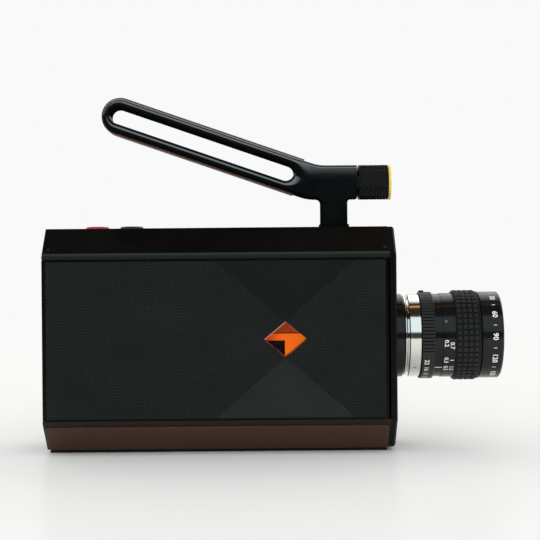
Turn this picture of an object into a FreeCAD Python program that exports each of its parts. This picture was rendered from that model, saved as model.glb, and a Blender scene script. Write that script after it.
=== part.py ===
import FreeCAD, Part
import math
import operator
import os
import Sketcher

# Cartridge movie camera with a side door, a swing-out display, a lift-off handle and a prime lens.
# Millimetres. The origin is the mouth centre of the tripod bush, in the base plane.
# +X points out of the lens, +Y to the camera's left (the display side), +Z up.

# Driving sizes: name in the sheet, value, what it measures.
SIZES = [
    # casing
    ("rear_reach", 99.6, "tripod axis to the rear end of the covers"),
    ("front_reach", 56.9, "tripod axis to the back of the front plate"),
    ("case_wide", 60.0, "width of the casing"),
    ("case_bottom", 1.5, "underside of the bottom cover above the base plane"),
    ("top_chamfer", 12.6, "chamfer along the upper edges"),
    ("bottom_chamfer", 13.4, "chamfer along the lower edges"),
    ("wall", 2.0, "wall of the covers"),
    ("panel_thick", 2.0, "door and left panel"),
    ("panel_tall", 72.0, "height of the door and the left panel"),
    ("rail_low", 1.1, "door above the lower chamfer"),
    ("rail_high", 2.0, "door below the upper chamfer"),
    ("chamfer_round", 1.2, "rounding between the sides and the chamfers"),
    ("roof_round", 0.4, "rounding between the upper chamfers and the top"),
    ("seam", 0.3, "gap round a moving panel"),
    ("lip_deep", 2.0, "overlap of the cover lips behind the panels"),
    ("lip_thick", 1.5, "thickness of the cover lips"),
    ("end_round", 0.4, "rounding of the covers' ends"),
    ("fascia_thick", 2.9, "thickness of the front plate"),
    ("fascia_bevel", 0.8, "bevel round the front plate"),
    ("fascia_drop", 0.2, "front plate's outline inside the covers' outline"),
    ("rim_deep", 3.5, "depth of the front plate's rim inside the covers"),
    ("rim_right", 2.6, "width of the rim at the door side"),
    ("rim_left", 3.5, "width of the rim at the display side"),
    ("rim_edge", 8.5, "height of the rim at top and bottom"),
    ("rear_recess", 1.2, "rear plate set in from the covers' ends"),
    ("rear_thick", 3.0, "thickness of the rear plate"),
    ("screw_radius", 0.5, "shank of the cover screws"),
    ("screw_head", 0.75, "head radius of the cover screws"),
    ("screw_head_tall", 0.25, "head height of the cover screws"),
    ("screw_long", 3.6, "shank length of the cover screws"),
    ("screw_rise", 2.8, "cover screws from the lower edge of the chamfer"),
    ("screw_inset", 2.7, "rear cover screws from the covers' rear end"),
    ("screw_back", 2.0, "front cover screws from the front plate"),
    # base
    ("base_pad_inset", 0.6, "rubber base pad short of the lower chamfers"),
    ("base_pad_rear", 1.1, "base pad short of the rear end"),
    ("base_pad_front", 0.8, "base pad short of the front plate"),
    ("leather_thick", 0.8, "leather on the lower chamfers"),
    ("leather_high", 1.9, "leather's upper edge below the chamfer's upper edge"),
    ("leather_low", 0.2, "leather's lower edge above the chamfer's lower edge"),
    ("leather_rear", 0.5, "leather short of the rear end"),
    ("leather_front", 0.6, "leather short of the front plate"),
    ("leather_corner", 0.7, "corner radius of the leather"),
    ("bush_radius", 6.0, "outside of the tripod bush"),
    ("bush_tall", 10.0, "height of the tripod bush"),
    ("bush_flange", 7.6, "flange radius of the tripod bush"),
    ("bush_flange_thick", 1.6, "flange of the tripod bush"),
    ("socket_radius", 3.175, "quarter inch tripod thread"),
    ("socket_deep", 8.5, "depth of the tripod thread"),
    # film
    ("cart_long", 76.0, "film cartridge, along the camera"),
    ("cart_tall", 69.0, "film cartridge, height"),
    ("cart_thick", 24.4, "film cartridge, thickness"),
    ("cart_offset", 16.5, "label side of the cartridge from the lens axis"),
    ("cart_wall", 1.2, "wall of the cartridge"),
    ("cart_round", 4.0, "corner radius of the cartridge"),
    ("label_thick", 0.1, "cartridge label"),
    ("label_long", 62.0, "label along the camera"),
    ("label_tall", 54.0, "label height"),
    ("roll_radius", 29.0, "wound film"),
    ("core_radius", 11.0, "inside of the wound film"),
    ("film_wide", 8.0, "width of the film"),
    ("film_thick", 0.15, "thickness of the film"),
    ("strip_tall", 30.0, "film showing in the cartridge's front"),
    ("frame_wide", 5.8, "picture frame width"),
    ("frame_tall", 4.2, "picture frame height"),
    ("film_back", 17.526, "lens flange to film"),
    ("film_set", 0.7, "film plane to the gate plate"),
    ("gate_thick", 2.0, "thickness of the gate plate"),
    ("chassis_thick", 2.0, "thickness of the chassis plate"),
    ("motor_gap", 1.2, "take-up motor clear of the cartridge"),
    ("spindle_radius", 3.0, "take-up spindle"),
    ("spindle_reach", 6.0, "take-up spindle inside the cartridge"),
    ("running", 0.05, "radial clearance of turning and sliding fits"),
    ("tooth_module", 1.0, "module of the take-up gears"),
    ("pinion_teeth", 16.0, "teeth of the motor pinion"),
    ("gear_teeth", 48.0, "teeth of the take-up gear"),
    ("backlash", 0.16, "backlash of the take-up gears"),
    ("gear_gap", 0.4, "gears clear of the chassis plate"),
    ("gear_thick", 2.6, "thickness of the take-up gears"),
    ("motor_radius", 8.5, "take-up motor"),
    ("motor_long", 20.0, "length of the take-up motor"),
    ("shaft_radius", 1.5, "motor shafts"),
    ("shaft_in_motor", 4.0, "take-up motor's shaft inside the motor"),
    ("shaft_stub", 0.6, "take-up motor's shaft beyond the pinion"),
    ("gear_hole", 4.0, "lightening holes of the take-up gear"),
    ("gear_hole_ring", 14.4, "ring of the lightening holes"),
    ("gear_holes", 6.0, "count of the lightening holes"),
    ("shutter_side", 9.6, "shutter axis to the right of the lens axis"),
    ("shutter_radius", 12.6, "shutter disc"),
    ("shutter_thick", 0.6, "shutter disc"),
    ("shutter_motor_radius", 4.5, "shutter motor"),
    ("shutter_motor_long", 4.0, "shutter motor"),
    ("shutter_shaft", 0.75, "shaft of the shutter motor"),
    ("shutter_shaft_in", 3.0, "shutter shaft inside the motor"),
    ("shutter_web", 2.0, "edge of the shutter's open half beyond its shaft"),
    # electronics
    ("board_thick", 1.6, "circuit boards"),
    ("board_long", 84.0, "main board"),
    ("board_tall", 56.0, "main board"),
    ("chip_side", 14.0, "chips on the main board"),
    ("chip_thick", 1.4, "chips on the main board"),
    ("battery_round", 3.0, "upright corners of the battery pack"),
    ("battery_wide", 26.0, "battery pack width"),
    ("battery_tall", 54.0, "battery pack height"),
    ("battery_gap", 1.5, "battery pack clear of the data socket and the motor"),
    ("port_drop", 9.8, "middle of the port cover below the lens axis"),
    ("port_wide", 24.0, "port cover width"),
    ("port_tall", 20.0, "port cover height"),
    ("port_thick", 0.9, "port cover thickness"),
    ("port_gap", 0.2, "port cover clear of the rear plate"),
    ("trunnion_radius", 0.35, "port cover trunnions"),
    ("trunnion_long", 1.4, "port cover trunnions"),
    ("lug_wide", 2.0, "lugs that carry the port cover"),
    ("socket_wide", 9.0, "data socket"),
    ("socket_tall", 3.4, "data socket"),
    ("socket_long", 7.5, "data socket"),
    ("socket_skin", 0.6, "shell of the data socket"),
    ("socket_tongue", 0.8, "gap round the data socket's tongue"),
    # buttons
    ("record_set", 21.7, "record button from the rear end"),
    ("button_pitch", 16.1, "menu button in front of the record button"),
    ("button_radius", 5.5, "buttons"),
    ("button_flange", 6.4, "flange under the cover that keeps a button in"),
    ("button_rise", 1.3, "buttons above the cover"),
    ("button_travel", 0.8, "travel of the buttons"),
    ("button_chamfer", 0.6, "edge of the buttons"),
    ("button_clear", 0.1, "buttons clear of the cover all round"),
    ("dome_radius", 2.0, "switch domes"),
    ("dome_tall", 0.6, "switch domes"),
    ("dome_gap", 0.1, "pressed button above its switch dome"),
    # door
    ("knuckle_radius", 1.6, "hinge knuckle of the door"),
    ("pin_radius", 0.6, "hinge pins of the door"),
    ("pin_in_door", 3.4, "hinge pins inside the door"),
    ("pin_in_cover", 1.3, "hinge pins inside the covers"),
    ("skin_thick", 0.5, "textured fields of the door"),
    ("skin_rear", 1.8, "textured fields short of the door's rear edge"),
    ("skin_edge", 0.8, "textured fields short of the door's long edges"),
    ("window_wide", 19.7, "diamond window, corner to corner along the camera"),
    ("window_tall", 16.4, "diamond window, corner to corner upright"),
    ("window_thick", 1.5, "window pane"),
    ("window_sink", 0.15, "window pane below the door's face"),
    ("field_slope", 0.86, "slope of the lines between the fields"),
    ("block_long", 34.0, "pressure block along the camera"),
    ("block_tall", 30.0, "pressure block height"),
    ("block_round", 2.0, "corners of the pressure block"),
    ("foam_thick", 0.8, "foam on the pressure block"),
    ("foam_clear", 0.3, "foam clear of the label"),
    ("magnet_radius", 2.0, "door magnets"),
    ("magnet_thick", 1.0, "door magnets"),
    # display
    ("display_front", 12.4, "display housing behind the front plate"),
    ("display_long", 89.5, "display housing"),
    ("display_edge", 7.0, "display housing from the left panel's long edges"),
    ("display_thick", 8.0, "display housing"),
    ("display_round", 1.0, "hinge edge of the display housing"),
    ("display_pin", 0.5, "hinge pins of the display"),
    ("display_pin_long", 7.0, "hinge pins of the display"),
    ("screen_long", 78.0, "screen"),
    ("screen_tall", 46.0, "screen"),
    ("screen_thick", 1.0, "screen"),
    ("tray_wall", 1.2, "tray behind the display"),
    ("tray_clear", 0.4, "display housing clear of the tray's floor"),
    ("tray_side", 0.8, "display housing clear of the tray's walls"),
    ("jog_set", 27.6, "jog wheel from the rear end"),
    ("jog_rise", 6.2, "jog wheel above the lens axis"),
    ("jog_radius", 11.0, "jog wheel"),
    ("jog_thick", 3.2, "jog wheel"),
    ("jog_shaft", 2.5, "shaft of the jog wheel"),
    ("jog_clip", 4.0, "clip on the jog wheel's shaft"),
    # handle
    ("post_reach", 33.15, "handle post in front of the tripod axis"),
    ("post_long", 12.3, "handle post along the camera"),
    ("handle_wide", 16.0, "width of the handle"),
    ("foot_long", 13.6, "foot plate under the post"),
    ("foot_wide", 17.6, "foot plate under the post"),
    ("foot_thick", 1.5, "foot plate under the post"),
    ("foot_round", 1.6, "corners of the foot plate"),
    ("spigot_chamfer", 0.6, "tip of the spigot"),
    ("spigot_room", 0.7, "bore above the spigot"),
    ("spigot_radius", 3.5, "spigot in the post"),
    ("spigot_over", 5.2, "top of the spigot above the knob's axis"),
    ("lift_gap", 0.1, "post above the foot plate"),
    ("neck_rise", 21.25, "middle of the handle's neck above the top cover"),
    ("neck_tall", 15.4, "height of the handle's neck"),
    ("neck_ahead", 4.5, "front face of the handle's neck in front of the post"),
    ("neck_land", 0.2, "flat between the blends under the neck"),
    ("loop_rise", 19.3, "slope of the loop in degrees"),
    ("loop_reach", 95.15, "rear centre of the loop from the corner under the neck"),
    ("slot_behind", 1.1, "rear centre of the slot behind the loop's rear centre"),
    ("slot_front", 13.67, "front centre of the slot from the corner under the neck"),
    ("loop_radius", 8.1, "outside of the casting at the loop's end"),
    ("slot_radius", 3.8, "slot of the loop"),
    ("loop_blend", 22.0, "blend from the loop to the neck"),
    ("post_blend", 2.2, "blend from the neck to the post"),
    ("handle_round", 1.5, "rounding along the handle's edges"),
    ("wrap_thick", 0.7, "leather round the loop"),
    ("wrap_wide", 11.6, "leather round the loop"),
    ("wrap_short", 7.3, "leather round the loop short of the corner under the neck"),
    ("knob_radius", 8.2, "clamping knob"),
    ("knob_long", 13.95, "clamping knob"),
    ("knob_chamfer", 0.35, "clamping knob"),
    ("waist_radius", 6.7, "shoulder of the knob against the neck"),
    ("waist_long", 0.9, "gap between neck and knob"),
    ("ring_long", 1.2, "end ring of the knob"),
    ("ring_inner", 5.0, "dished middle of the end ring"),
    ("ring_dish", 0.6, "depth of the dished middle"),
    ("stem_radius", 2.45, "stem of the knob"),
    ("stem_clear", 0.1, "stem and clamp pad clear of their bore"),
    ("clamp_long", 1.9, "clamp pad"),
    ("clamp_gap", 0.06, "clamp pad clear of the spigot"),
    # lens
    ("lens_drop", 0.2, "lens axis below the middle of the door"),
    ("boss_long", 4.7, "mount boss in front of the front plate"),
    ("boss_radius", 19.4, "mount boss"),
    ("boss_wall", 1.3, "mount boss inside the front plate"),
    ("thread_radius", 12.7, "one inch lens thread"),
    ("thread_long", 4.0, "lens thread"),
    ("flange_radius", 18.8, "bright flange ring"),
    ("flange_thick", 2.2, "bright flange ring"),
    ("rear_bore", 9.0, "light path through the flange ring"),
    ("scale_long", 5.2, "silver scale ring"),
    ("scale_radius", 19.4, "silver scale ring"),
    ("iris_long", 6.3, "iris ring"),
    ("iris_radius", 20.3, "iris ring"),
    ("iris_bevel", 0.6, "iris ring"),
    ("lock_wall", 1.25, "lock screw clear of the iris ring's bore"),
    ("ring_gap", 0.08, "gap beside the turning rings"),
    ("collar_long", 3.6, "fixed barrel with the index line"),
    ("collar_radius", 19.4, "fixed barrel with the index line"),
    ("focus_long", 17.3, "focus ring"),
    ("focus_radius", 19.7, "focus ring"),
    ("grip_long", 11.6, "rubber grip"),
    ("grip_radius", 21.0, "rubber grip"),
    ("grip_count", 46.0, "rows of pads round the grip"),
    ("grip_columns", 4.0, "columns of pads along the grip"),
    ("groove_wide", 0.7, "grooves between the pads"),
    ("groove_deep", 0.7, "grooves between the pads"),
    ("tube_radius", 17.0, "lens tube"),
    ("tube_bore", 15.0, "lens tube"),
    ("tube_short", 0.6, "lens tube short of the focus ring's front"),
    ("web_set", 1.7, "web in front of the iris ring's rear"),
    ("web_thick", 0.8, "web that carries the iris"),
    ("web_bore", 6.2, "web that carries the iris"),
    ("blade_thick", 0.3, "iris blades"),
    ("blade_gap", 0.1, "iris blades clear of each other"),
    ("blade_wide", 18.0, "iris blades"),
    ("blade_clear", 0.8, "corners of the iris blades clear of the lens tube"),
    ("blade_low", 1.0, "straight edge of an iris blade from the axis when open"),
    ("blade_notch", 6.0, "notch of the iris blades"),
    ("barrel_gap", 0.3, "front barrel in front of the focus grip"),
    ("barrel_long", 10.0, "front barrel"),
    ("barrel_radius", 20.2, "front barrel"),
    ("barrel_bevel", 0.7, "front barrel"),
    ("sleeve_long", 15.0, "sleeve of the front barrel in the lens tube"),
    ("sleeve_bore", 12.6, "sleeve of the front barrel in the lens tube"),
    ("filter_radius", 18.5, "filter thread"),
    ("filter_long", 3.0, "filter thread"),
    ("filter_step", 2.5, "ledge at the bottom of the filter thread"),
    ("glass_set", 2.0, "front element behind the filter thread"),
    ("glass_thick", 4.0, "front lens element at its edge"),
    ("glass_dome", 1.6, "front lens element's dome"),
    ("lock_radius", 1.2, "lock screw of the iris ring"),
    ("lock_rise", 0.7, "lock screw above the iris ring"),
    ("lock_set", 1.9, "lock screw from the iris ring's rear"),
]

doc = FreeCAD.newDocument("movie_camera")
sheet = doc.addObject("Spreadsheet::Sheet", "Sizes")
for row, (alias, value, note) in enumerate(SIZES, start=1):
    sheet.set(f"A{row}", alias)
    sheet.set(f"B{row}", str(value))
    sheet.set(f"C{row}", note)
    sheet.setAlias(f"B{row}", alias)
doc.recompute()

SIGNS = {"+": operator.add, "-": operator.sub, "*": operator.mul, "/": operator.truediv}
TAN_HALF = math.tan(math.radians(22.5))
# gear teeth, in modules: depth below the pitch circle, height above it, and their pressure angle
TOOTH_DEPTH = 1.25
TOOTH_RISE = 0.9
PRESSURE_ANGLE = math.radians(20)
# a rounding takes up less than half of the bar that it runs along
LESS_THAN_HALF = 0.45


class Size:
    """A size worked out from the sheet: its number, and the formula that a property is bound to."""

    def __init__(self, value, formula):
        self.value = value
        self.formula = formula

    def __add__(self, other):
        return joined(self, "+", other)

    def __radd__(self, other):
        return joined(other, "+", self)

    def __sub__(self, other):
        return joined(self, "-", other)

    def __rsub__(self, other):
        return joined(other, "-", self)

    def __mul__(self, other):
        return joined(self, "*", other)

    def __rmul__(self, other):
        return joined(other, "*", self)

    def __truediv__(self, other):
        return joined(self, "/", other)

    def __neg__(self):
        return joined(0, "-", self)


def as_size(number):
    if isinstance(number, Size):
        return number
    return Size(float(number), f"({float(number)!r})")


def joined(left, sign, right):
    left = as_size(left)
    right = as_size(right)
    value = SIGNS[sign](left.value, right.value)
    return Size(value, f"({left.formula} {sign} {right.formula})")


def root(size):
    return Size(math.sqrt(size.value), f"sqrt({size.formula})")


class Sheet:
    """The sheet's sizes as attributes."""

    def __init__(self):
        for alias, _value, _note in SIZES:
            setattr(self, alias, Size(float(sheet.get(alias)), f"Sizes.{alias}"))


D = Sheet()
pieces = {}


def bind(thing, path, size):
    thing.setExpression(path, as_size(size).formula)


def keep(name, thing):
    thing.Label = name
    pieces[name] = thing
    return thing


# Upright axis of each sketch plane: the plane's normal runs along +X, -Y or +Z.
PLANES = {"X": "YZ_Plane", "Y": "XZ_Plane", "Z": "XY_Plane"}


class Body:
    """A piece made of features. Its outlines lie square to one axis and run from start to end on it.

    Outlines square to X hold (y, z) points, square to Y (x, z) and square to Z (x, y)."""

    def __init__(self, name):
        self.body = keep(name, doc.addObject("PartDesign::Body", name))

    def support(self, thing, axis, offset, across=(0, 0)):
        role = PLANES[axis]
        plane = [item for item in self.body.Origin.OriginFeatures if item.Role == role][0]
        thing.AttachmentSupport = [(plane, "")]
        thing.MapMode = "FlatFace"
        bind(thing, "AttachmentOffset.Base.x", across[0])
        bind(thing, "AttachmentOffset.Base.y", across[1])
        bind(thing, "AttachmentOffset.Base.z", offset)

    def sketch(self, axis, offset, points):
        sketch = self.body.newObject("Sketcher::SketchObject", f"{self.body.Name}_outline")
        self.support(sketch, axis, offset)
        draw(sketch, points)
        return sketch

    def feature(self, kind, **values):
        thing = self.body.newObject(f"PartDesign::{kind}", f"{self.body.Name}_{kind.lower()}")
        for name, value in values.items():
            if isinstance(value, Size):
                bind(thing, name, value)
            else:
                setattr(thing, name, value)
        return thing

    def pad(self, axis, start, end, points):
        near = -as_size(end) if axis == "Y" else start
        sketch = self.sketch(axis, near, points)
        return self.feature("Pad", Profile=sketch, Length=as_size(end) - start)

    def pocket(self, axis, start, end, points):
        near = -as_size(start) if axis == "Y" else end
        sketch = self.sketch(axis, near, points)
        return self.feature("Pocket", Profile=sketch, Length=as_size(end) - start)

    def turned(self, axis, points, cut=False):
        """Revolve (along, radius) points about the X axis, or (radius, along) about Y or Z."""
        plane = {"X": "Y", "Y": "Z", "Z": "Y"}[axis]
        line = "H_Axis" if axis == "X" else "V_Axis"
        sketch = self.sketch(plane, 0, points)
        kind = "Groove" if cut else "Revolution"
        return self.feature(kind, Profile=sketch, ReferenceAxis=(sketch, [line]), Angle=360.0)

    def box(self, x, y, z, cut=False):
        """Add or cut a box between two values on each axis."""
        kind = "SubtractiveBox" if cut else "AdditiveBox"
        thing = self.feature(
            kind,
            Length=as_size(x[1]) - x[0],
            Width=as_size(y[1]) - y[0],
            Height=as_size(z[1]) - z[0],
        )
        self.support(thing, "Z", z[0], (x[0], y[0]))
        return thing

    def rod(self, axis, start, end, middle, radius, cut=False):
        """Add or cut a round rod along an axis."""
        kind = "SubtractiveCylinder" if cut else "AdditiveCylinder"
        thing = self.feature(kind, Radius=as_size(radius), Height=as_size(end) - start)
        near = -as_size(end) if axis == "Y" else start
        self.support(thing, axis, near, middle)
        return thing

    def drill(self, place, direction, radius, depth):
        """Cut a round hole from a place, in any direction."""
        thing = self.feature("SubtractiveCylinder", Radius=as_size(radius), Height=as_size(depth))
        self.support(thing, "Z", place[2], (place[0], place[1]))
        turn = FreeCAD.Rotation(FreeCAD.Vector(0, 0, 1), FreeCAD.Vector(*direction))
        thing.AttachmentOffset = FreeCAD.Placement(thing.AttachmentOffset.Base, turn)
        return thing

    def round(self, radius, chosen, kind="Fillet"):
        """Round or chamfer the edges that the test picks."""
        doc.recompute()
        tip = self.body.Tip
        names = [f"Edge{n}" for n, edge in enumerate(tip.Shape.Edges, start=1) if chosen(edge)]
        if not names:
            raise RuntimeError(f"{self.body.Label}: no edge to round")
        thing = self.feature(kind, Base=(tip, names))
        bind(thing, "Size" if kind == "Chamfer" else "Radius", radius)
        return thing

    def repeat(self, feature, axis, count):
        """Repeat a cut round one of the body's own axes."""
        role = f"{axis}_Axis"
        line = [item for item in self.body.Origin.OriginFeatures if item.Role == role][0]
        pattern = self.feature("PolarPattern", Originals=[feature], Axis=(line, [""]), Angle=360.0)
        bind(pattern, "Occurrences", count)
        self.body.Tip = pattern
        return pattern

    def place(self, x=0, y=0, z=0):
        bind(self.body, "Placement.Base.x", x)
        bind(self.body, "Placement.Base.y", y)
        bind(self.body, "Placement.Base.z", z)


def draw(sketch, points):
    """Draw a closed outline of straight lines with every corner bound to the sheet."""
    corners = [(as_size(u), as_size(v)) for u, v in points]
    spots = [FreeCAD.Vector(u.value, v.value, 0) for u, v in corners]
    count = len(spots)
    lines = [Part.LineSegment(spots[n], spots[(n + 1) % count]) for n in range(count)]
    sketch.addGeometry(lines, False)
    rules = [Sketcher.Constraint("Coincident", n, 2, (n + 1) % count, 1) for n in range(count)]
    bound = []
    for n, corner in enumerate(corners):
        for kind, on_axis, size in zip(("DistanceX", "DistanceY"), (-2, -1), corner):
            if abs(size.value) < 1e-9:
                rules.append(Sketcher.Constraint("PointOnObject", n, 1, on_axis))
            else:
                bound.append((len(rules), size))
                rules.append(Sketcher.Constraint(kind, -1, 1, n, 1, size.value))
    sketch.addConstraint(rules)
    for index, size in bound:
        sketch.setExpression(f"Constraints[{index}]", size.formula)


def solid_rod(name, axis, start, end, middle, radius):
    """A round rod as a plain cylinder. middle holds the two places across the axis, in X, Y, Z order."""
    turns = {"X": (0, 1, 0, 90), "Y": (1, 0, 0, -90), "Z": (0, 0, 1, 0)}
    thing = doc.addObject("Part::Cylinder", name)
    bind(thing, "Radius", radius)
    bind(thing, "Height", as_size(end) - start)
    x, y, z, angle = turns[axis]
    thing.Placement = FreeCAD.Placement(FreeCAD.Vector(), FreeCAD.Rotation(FreeCAD.Vector(x, y, z), angle))
    spots = {"X": (start, *middle), "Y": (middle[0], start, middle[1]), "Z": (*middle, start)}[axis]
    for letter, spot in zip("xyz", spots):
        bind(thing, f"Placement.Base.{letter}", spot)
    return thing


def group(name, things):
    thing = doc.addObject("Part::Compound", name)
    thing.Links = things
    return keep(name, thing)


def freeform(name, shape, place=(0, 0, 0)):
    """A shape made in code. It takes its place from the sheet afterwards."""
    thing = doc.addObject("Part::Feature", name)
    thing.Shape = shape
    for letter, spot in zip("xyz", place):
        bind(thing, f"Placement.Base.{letter}", spot)
    return keep(name, thing)


def along(axis):
    """Test for straight edges along an axis."""
    index = "XYZ".index(axis)

    def chosen(edge):
        if edge.Curve.TypeId != "Part::GeomLine":
            return False
        return abs(abs(edge.Curve.Direction[index]) - 1.0) < 1e-6

    return chosen


def at(index, spot, slack=1e-4):
    """Test for edges that lie wholly at one place on an axis."""
    spot = as_size(spot).value

    def chosen(edge):
        return all(abs(vertex.Point[index] - spot) < slack for vertex in edge.Vertexes)

    return chosen


def both(*tests):
    return lambda edge: all(test(edge) for test in tests)


# Places that several pieces share.
side = D.case_wide / 2
rear = -D.rear_reach
front = D.front_reach
fascia_front = front + D.fascia_thick
side_bottom = D.case_bottom + D.bottom_chamfer
panel_bottom = side_bottom + D.rail_low
panel_top = panel_bottom + D.panel_tall
side_top = panel_top + D.rail_high
case_top = side_top + D.top_chamfer
panel_inside = side - D.panel_thick
lip_left = panel_inside - D.lip_thick
lip_right = -(panel_inside - D.seam - D.lip_thick)
lip_right_face = -(panel_inside - D.seam)
roof = case_top - D.wall
floor = D.case_bottom + D.wall
roof_corner = side - D.top_chamfer - D.wall * TAN_HALF
floor_corner = side - D.bottom_chamfer - D.wall * TAN_HALF
top_edge = panel_top + D.seam
bottom_edge = panel_bottom - D.seam
lens_z = (panel_bottom + panel_top) / 2 - D.lens_drop
flange_x = fascia_front + D.boss_long
boss_spigot = D.thread_radius + D.boss_wall
gate_rear = flange_x - D.film_back + D.film_set
gate_front = gate_rear + D.gate_thick
cart_rear = gate_rear - D.cart_long
cart_right = -D.cart_offset
cart_left = D.cart_thick - D.cart_offset
cart_low = lens_z - D.cart_tall / 2
cart_high = lens_z + D.cart_tall / 2
cart_middle = gate_rear - D.cart_long / 2
chassis_left = cart_left + D.chassis_thick
rear_face = rear + D.rear_recess
rear_inside = rear_face + D.rear_thick
hinge_x = front - D.seam - D.knuckle_radius
hinge_y = -(side - D.knuckle_radius)
port_outer = rear_face - D.port_gap - D.port_thick
port_axis_x = port_outer + D.port_thick / 2
port_z = lens_z - D.port_drop
port_axis_z = port_z - D.port_tall / 2 + D.port_thick / 2
record_x = rear + D.record_set
menu_x = record_x + D.button_pitch
foot_top = case_top + D.foot_thick
neck_z = case_top + D.neck_rise
neck_front = D.post_reach + D.post_long / 2 + D.neck_ahead


def roof_at(y):
    """Height of the inside of the upper chamfer at a distance from the middle."""
    return roof - (y - roof_corner)


def floor_at(y):
    """Height of the inside of the lower chamfer at a distance from the middle."""
    return floor + (y - floor_corner)


def cavity():
    """Outline of the room inside the covers, between their lips."""
    return [
        (lip_right, floor_at(-lip_right)),
        (-floor_corner, floor),
        (floor_corner, floor),
        (lip_left, floor_at(lip_left)),
        (lip_left, roof_at(lip_left)),
        (roof_corner, roof),
        (-roof_corner, roof),
        (lip_right, roof_at(-lip_right)),
    ]


def screw_places():
    """Cover screws on the upper chamfers: place on the chamfer and direction inward."""
    for x in (rear + D.screw_inset, front - D.screw_back):
        for hand in (-1, 1):
            yield (x, hand * (side - D.screw_rise), side_top + D.screw_rise), (0, -hand, -1)


def drill_for_screws(body):
    for place, direction in screw_places():
        body.drill(place, direction, D.screw_radius, D.screw_long)


def top_cover():
    body = Body("top_cover")
    body.pad("X", rear, front, [
        (-side, top_edge),
        (-side, side_top),
        (-(side - D.top_chamfer), case_top),
        (side - D.top_chamfer, case_top),
        (side, side_top),
        (side, top_edge),
        (panel_inside, top_edge),
        (panel_inside, panel_top - D.lip_deep),
        (lip_left, panel_top - D.lip_deep),
        (lip_left, roof_at(lip_left)),
        (roof_corner, roof),
        (-roof_corner, roof),
        (lip_right, roof_at(-lip_right)),
        (lip_right, panel_top - D.lip_deep),
        (lip_right_face, panel_top - D.lip_deep),
        (lip_right_face, top_edge),
    ])
    body.box(
        (hinge_x - D.knuckle_radius - D.seam * 2, front),
        (lip_right_face, lip_right),
        (panel_top - D.lip_deep, top_edge),
        cut=True,
    )
    body.rod("Z", top_edge, top_edge + D.pin_in_cover, (hinge_x, hinge_y), D.pin_radius, cut=True)
    for x in (record_x, menu_x):
        body.rod("Z", roof, case_top, (x, 0), D.button_radius + D.button_clear, cut=True)
    drill_for_screws(body)
    body.round(D.chamfer_round, both(along("X"), at(2, side_top)))
    body.round(D.roof_round, both(along("X"), at(2, case_top)))
    body.round(D.end_round, both(at(0, rear), outside_top))


def outside_top(edge):
    """Edges of the top cover's outer faces."""
    limit = top_edge.value - 1e-4
    middle = edge.CenterOfMass
    if middle.z < limit or middle.y < -side.value - 1e-4:
        return False
    on_side = abs(abs(middle.y) - side.value) < 1e-4
    on_top = abs(middle.z - case_top.value) < 1e-4
    sum_out = abs(middle.y) + middle.z
    on_chamfer = abs(sum_out - side.value - side_top.value) < 1e-3
    on_blend = edge.Curve.TypeId == "Part::GeomCircle" and edge.Curve.Radius > D.screw_radius.value
    return on_blend or ((on_side or on_top or on_chamfer) and edge.Length > D.screw_radius.value)


def bottom_cover():
    body = Body("bottom_cover")
    body.pad("X", rear, front, [
        (-side, bottom_edge),
        (-side, side_bottom),
        (-(side - D.bottom_chamfer), D.case_bottom),
        (side - D.bottom_chamfer, D.case_bottom),
        (side, side_bottom),
        (side, bottom_edge),
        (panel_inside, bottom_edge),
        (panel_inside, panel_bottom + D.lip_deep),
        (lip_left, panel_bottom + D.lip_deep),
        (lip_left, floor_at(lip_left)),
        (floor_corner, floor),
        (-floor_corner, floor),
        (lip_right, floor_at(-lip_right)),
        (lip_right, panel_bottom + D.lip_deep),
        (lip_right_face, panel_bottom + D.lip_deep),
        (lip_right_face, bottom_edge),
    ])
    body.box(
        (hinge_x - D.knuckle_radius - D.seam * 2, front),
        (lip_right_face, lip_right),
        (bottom_edge, panel_bottom + D.lip_deep),
        cut=True,
    )
    body.rod("Z", bottom_edge - D.pin_in_cover, bottom_edge, (hinge_x, hinge_y), D.pin_radius, cut=True)
    body.rod("Z", D.case_bottom, floor, (0, 0), D.bush_radius, cut=True)
    body.round(D.chamfer_round, both(along("X"), at(2, side_bottom)))


def front_plate():
    body = Body("front_plate")
    inset = D.fascia_drop
    body.pad("X", front, fascia_front, [
        (-side, side_bottom),
        (-(side - D.bottom_chamfer), D.case_bottom + inset),
        (side - D.bottom_chamfer, D.case_bottom + inset),
        (side, side_bottom),
        (side, side_top),
        (side - D.top_chamfer, case_top - inset),
        (-(side - D.top_chamfer), case_top - inset),
        (-side, side_top),
    ])
    body.round(D.fascia_bevel, at(0, fascia_front), kind="Chamfer")
    rim_back = front - D.rim_deep
    body.pad("X", rim_back, front, cavity())
    body.box(
        (rim_back, front),
        (lip_right + D.rim_right, lip_left - D.rim_left),
        (floor + D.rim_edge, roof - D.rim_edge),
        cut=True,
    )
    body.rod("X", front, fascia_front, (0, lens_z), boss_spigot, cut=True)
    drill_for_screws(body)


def rear_plate():
    body = Body("rear_plate")
    body.pad("X", rear_face, rear_inside, cavity())
    body.box(
        (rear_face, rear_inside),
        (lip_right_face, panel_inside),
        (panel_bottom + D.lip_deep + D.seam, panel_top - D.lip_deep - D.seam),
    )
    lug = D.port_wide / 2 + D.seam
    axis_z = port_axis_z
    for inner in (-(lug + D.lug_wide), lug):
        body.box(
            (port_outer, rear_face),
            (inner, inner + D.lug_wide),
            (axis_z - D.port_thick, axis_z + D.port_thick),
        )
    body.rod(
        "Y", -(lug + D.trunnion_long), lug + D.trunnion_long,
        (port_axis_x, axis_z), D.trunnion_radius + D.running, cut=True,
    )
    body.box((rear_face, rear_inside), data_socket_y(), data_socket_z(), cut=True)
    for height in magnet_heights():
        body.rod(
            "Y", lip_right_face, lip_right_face + D.magnet_thick,
            ((rear_face + rear_inside) / 2, height), D.magnet_radius / 2, cut=True,
        )
    drill_for_screws(body)


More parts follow.
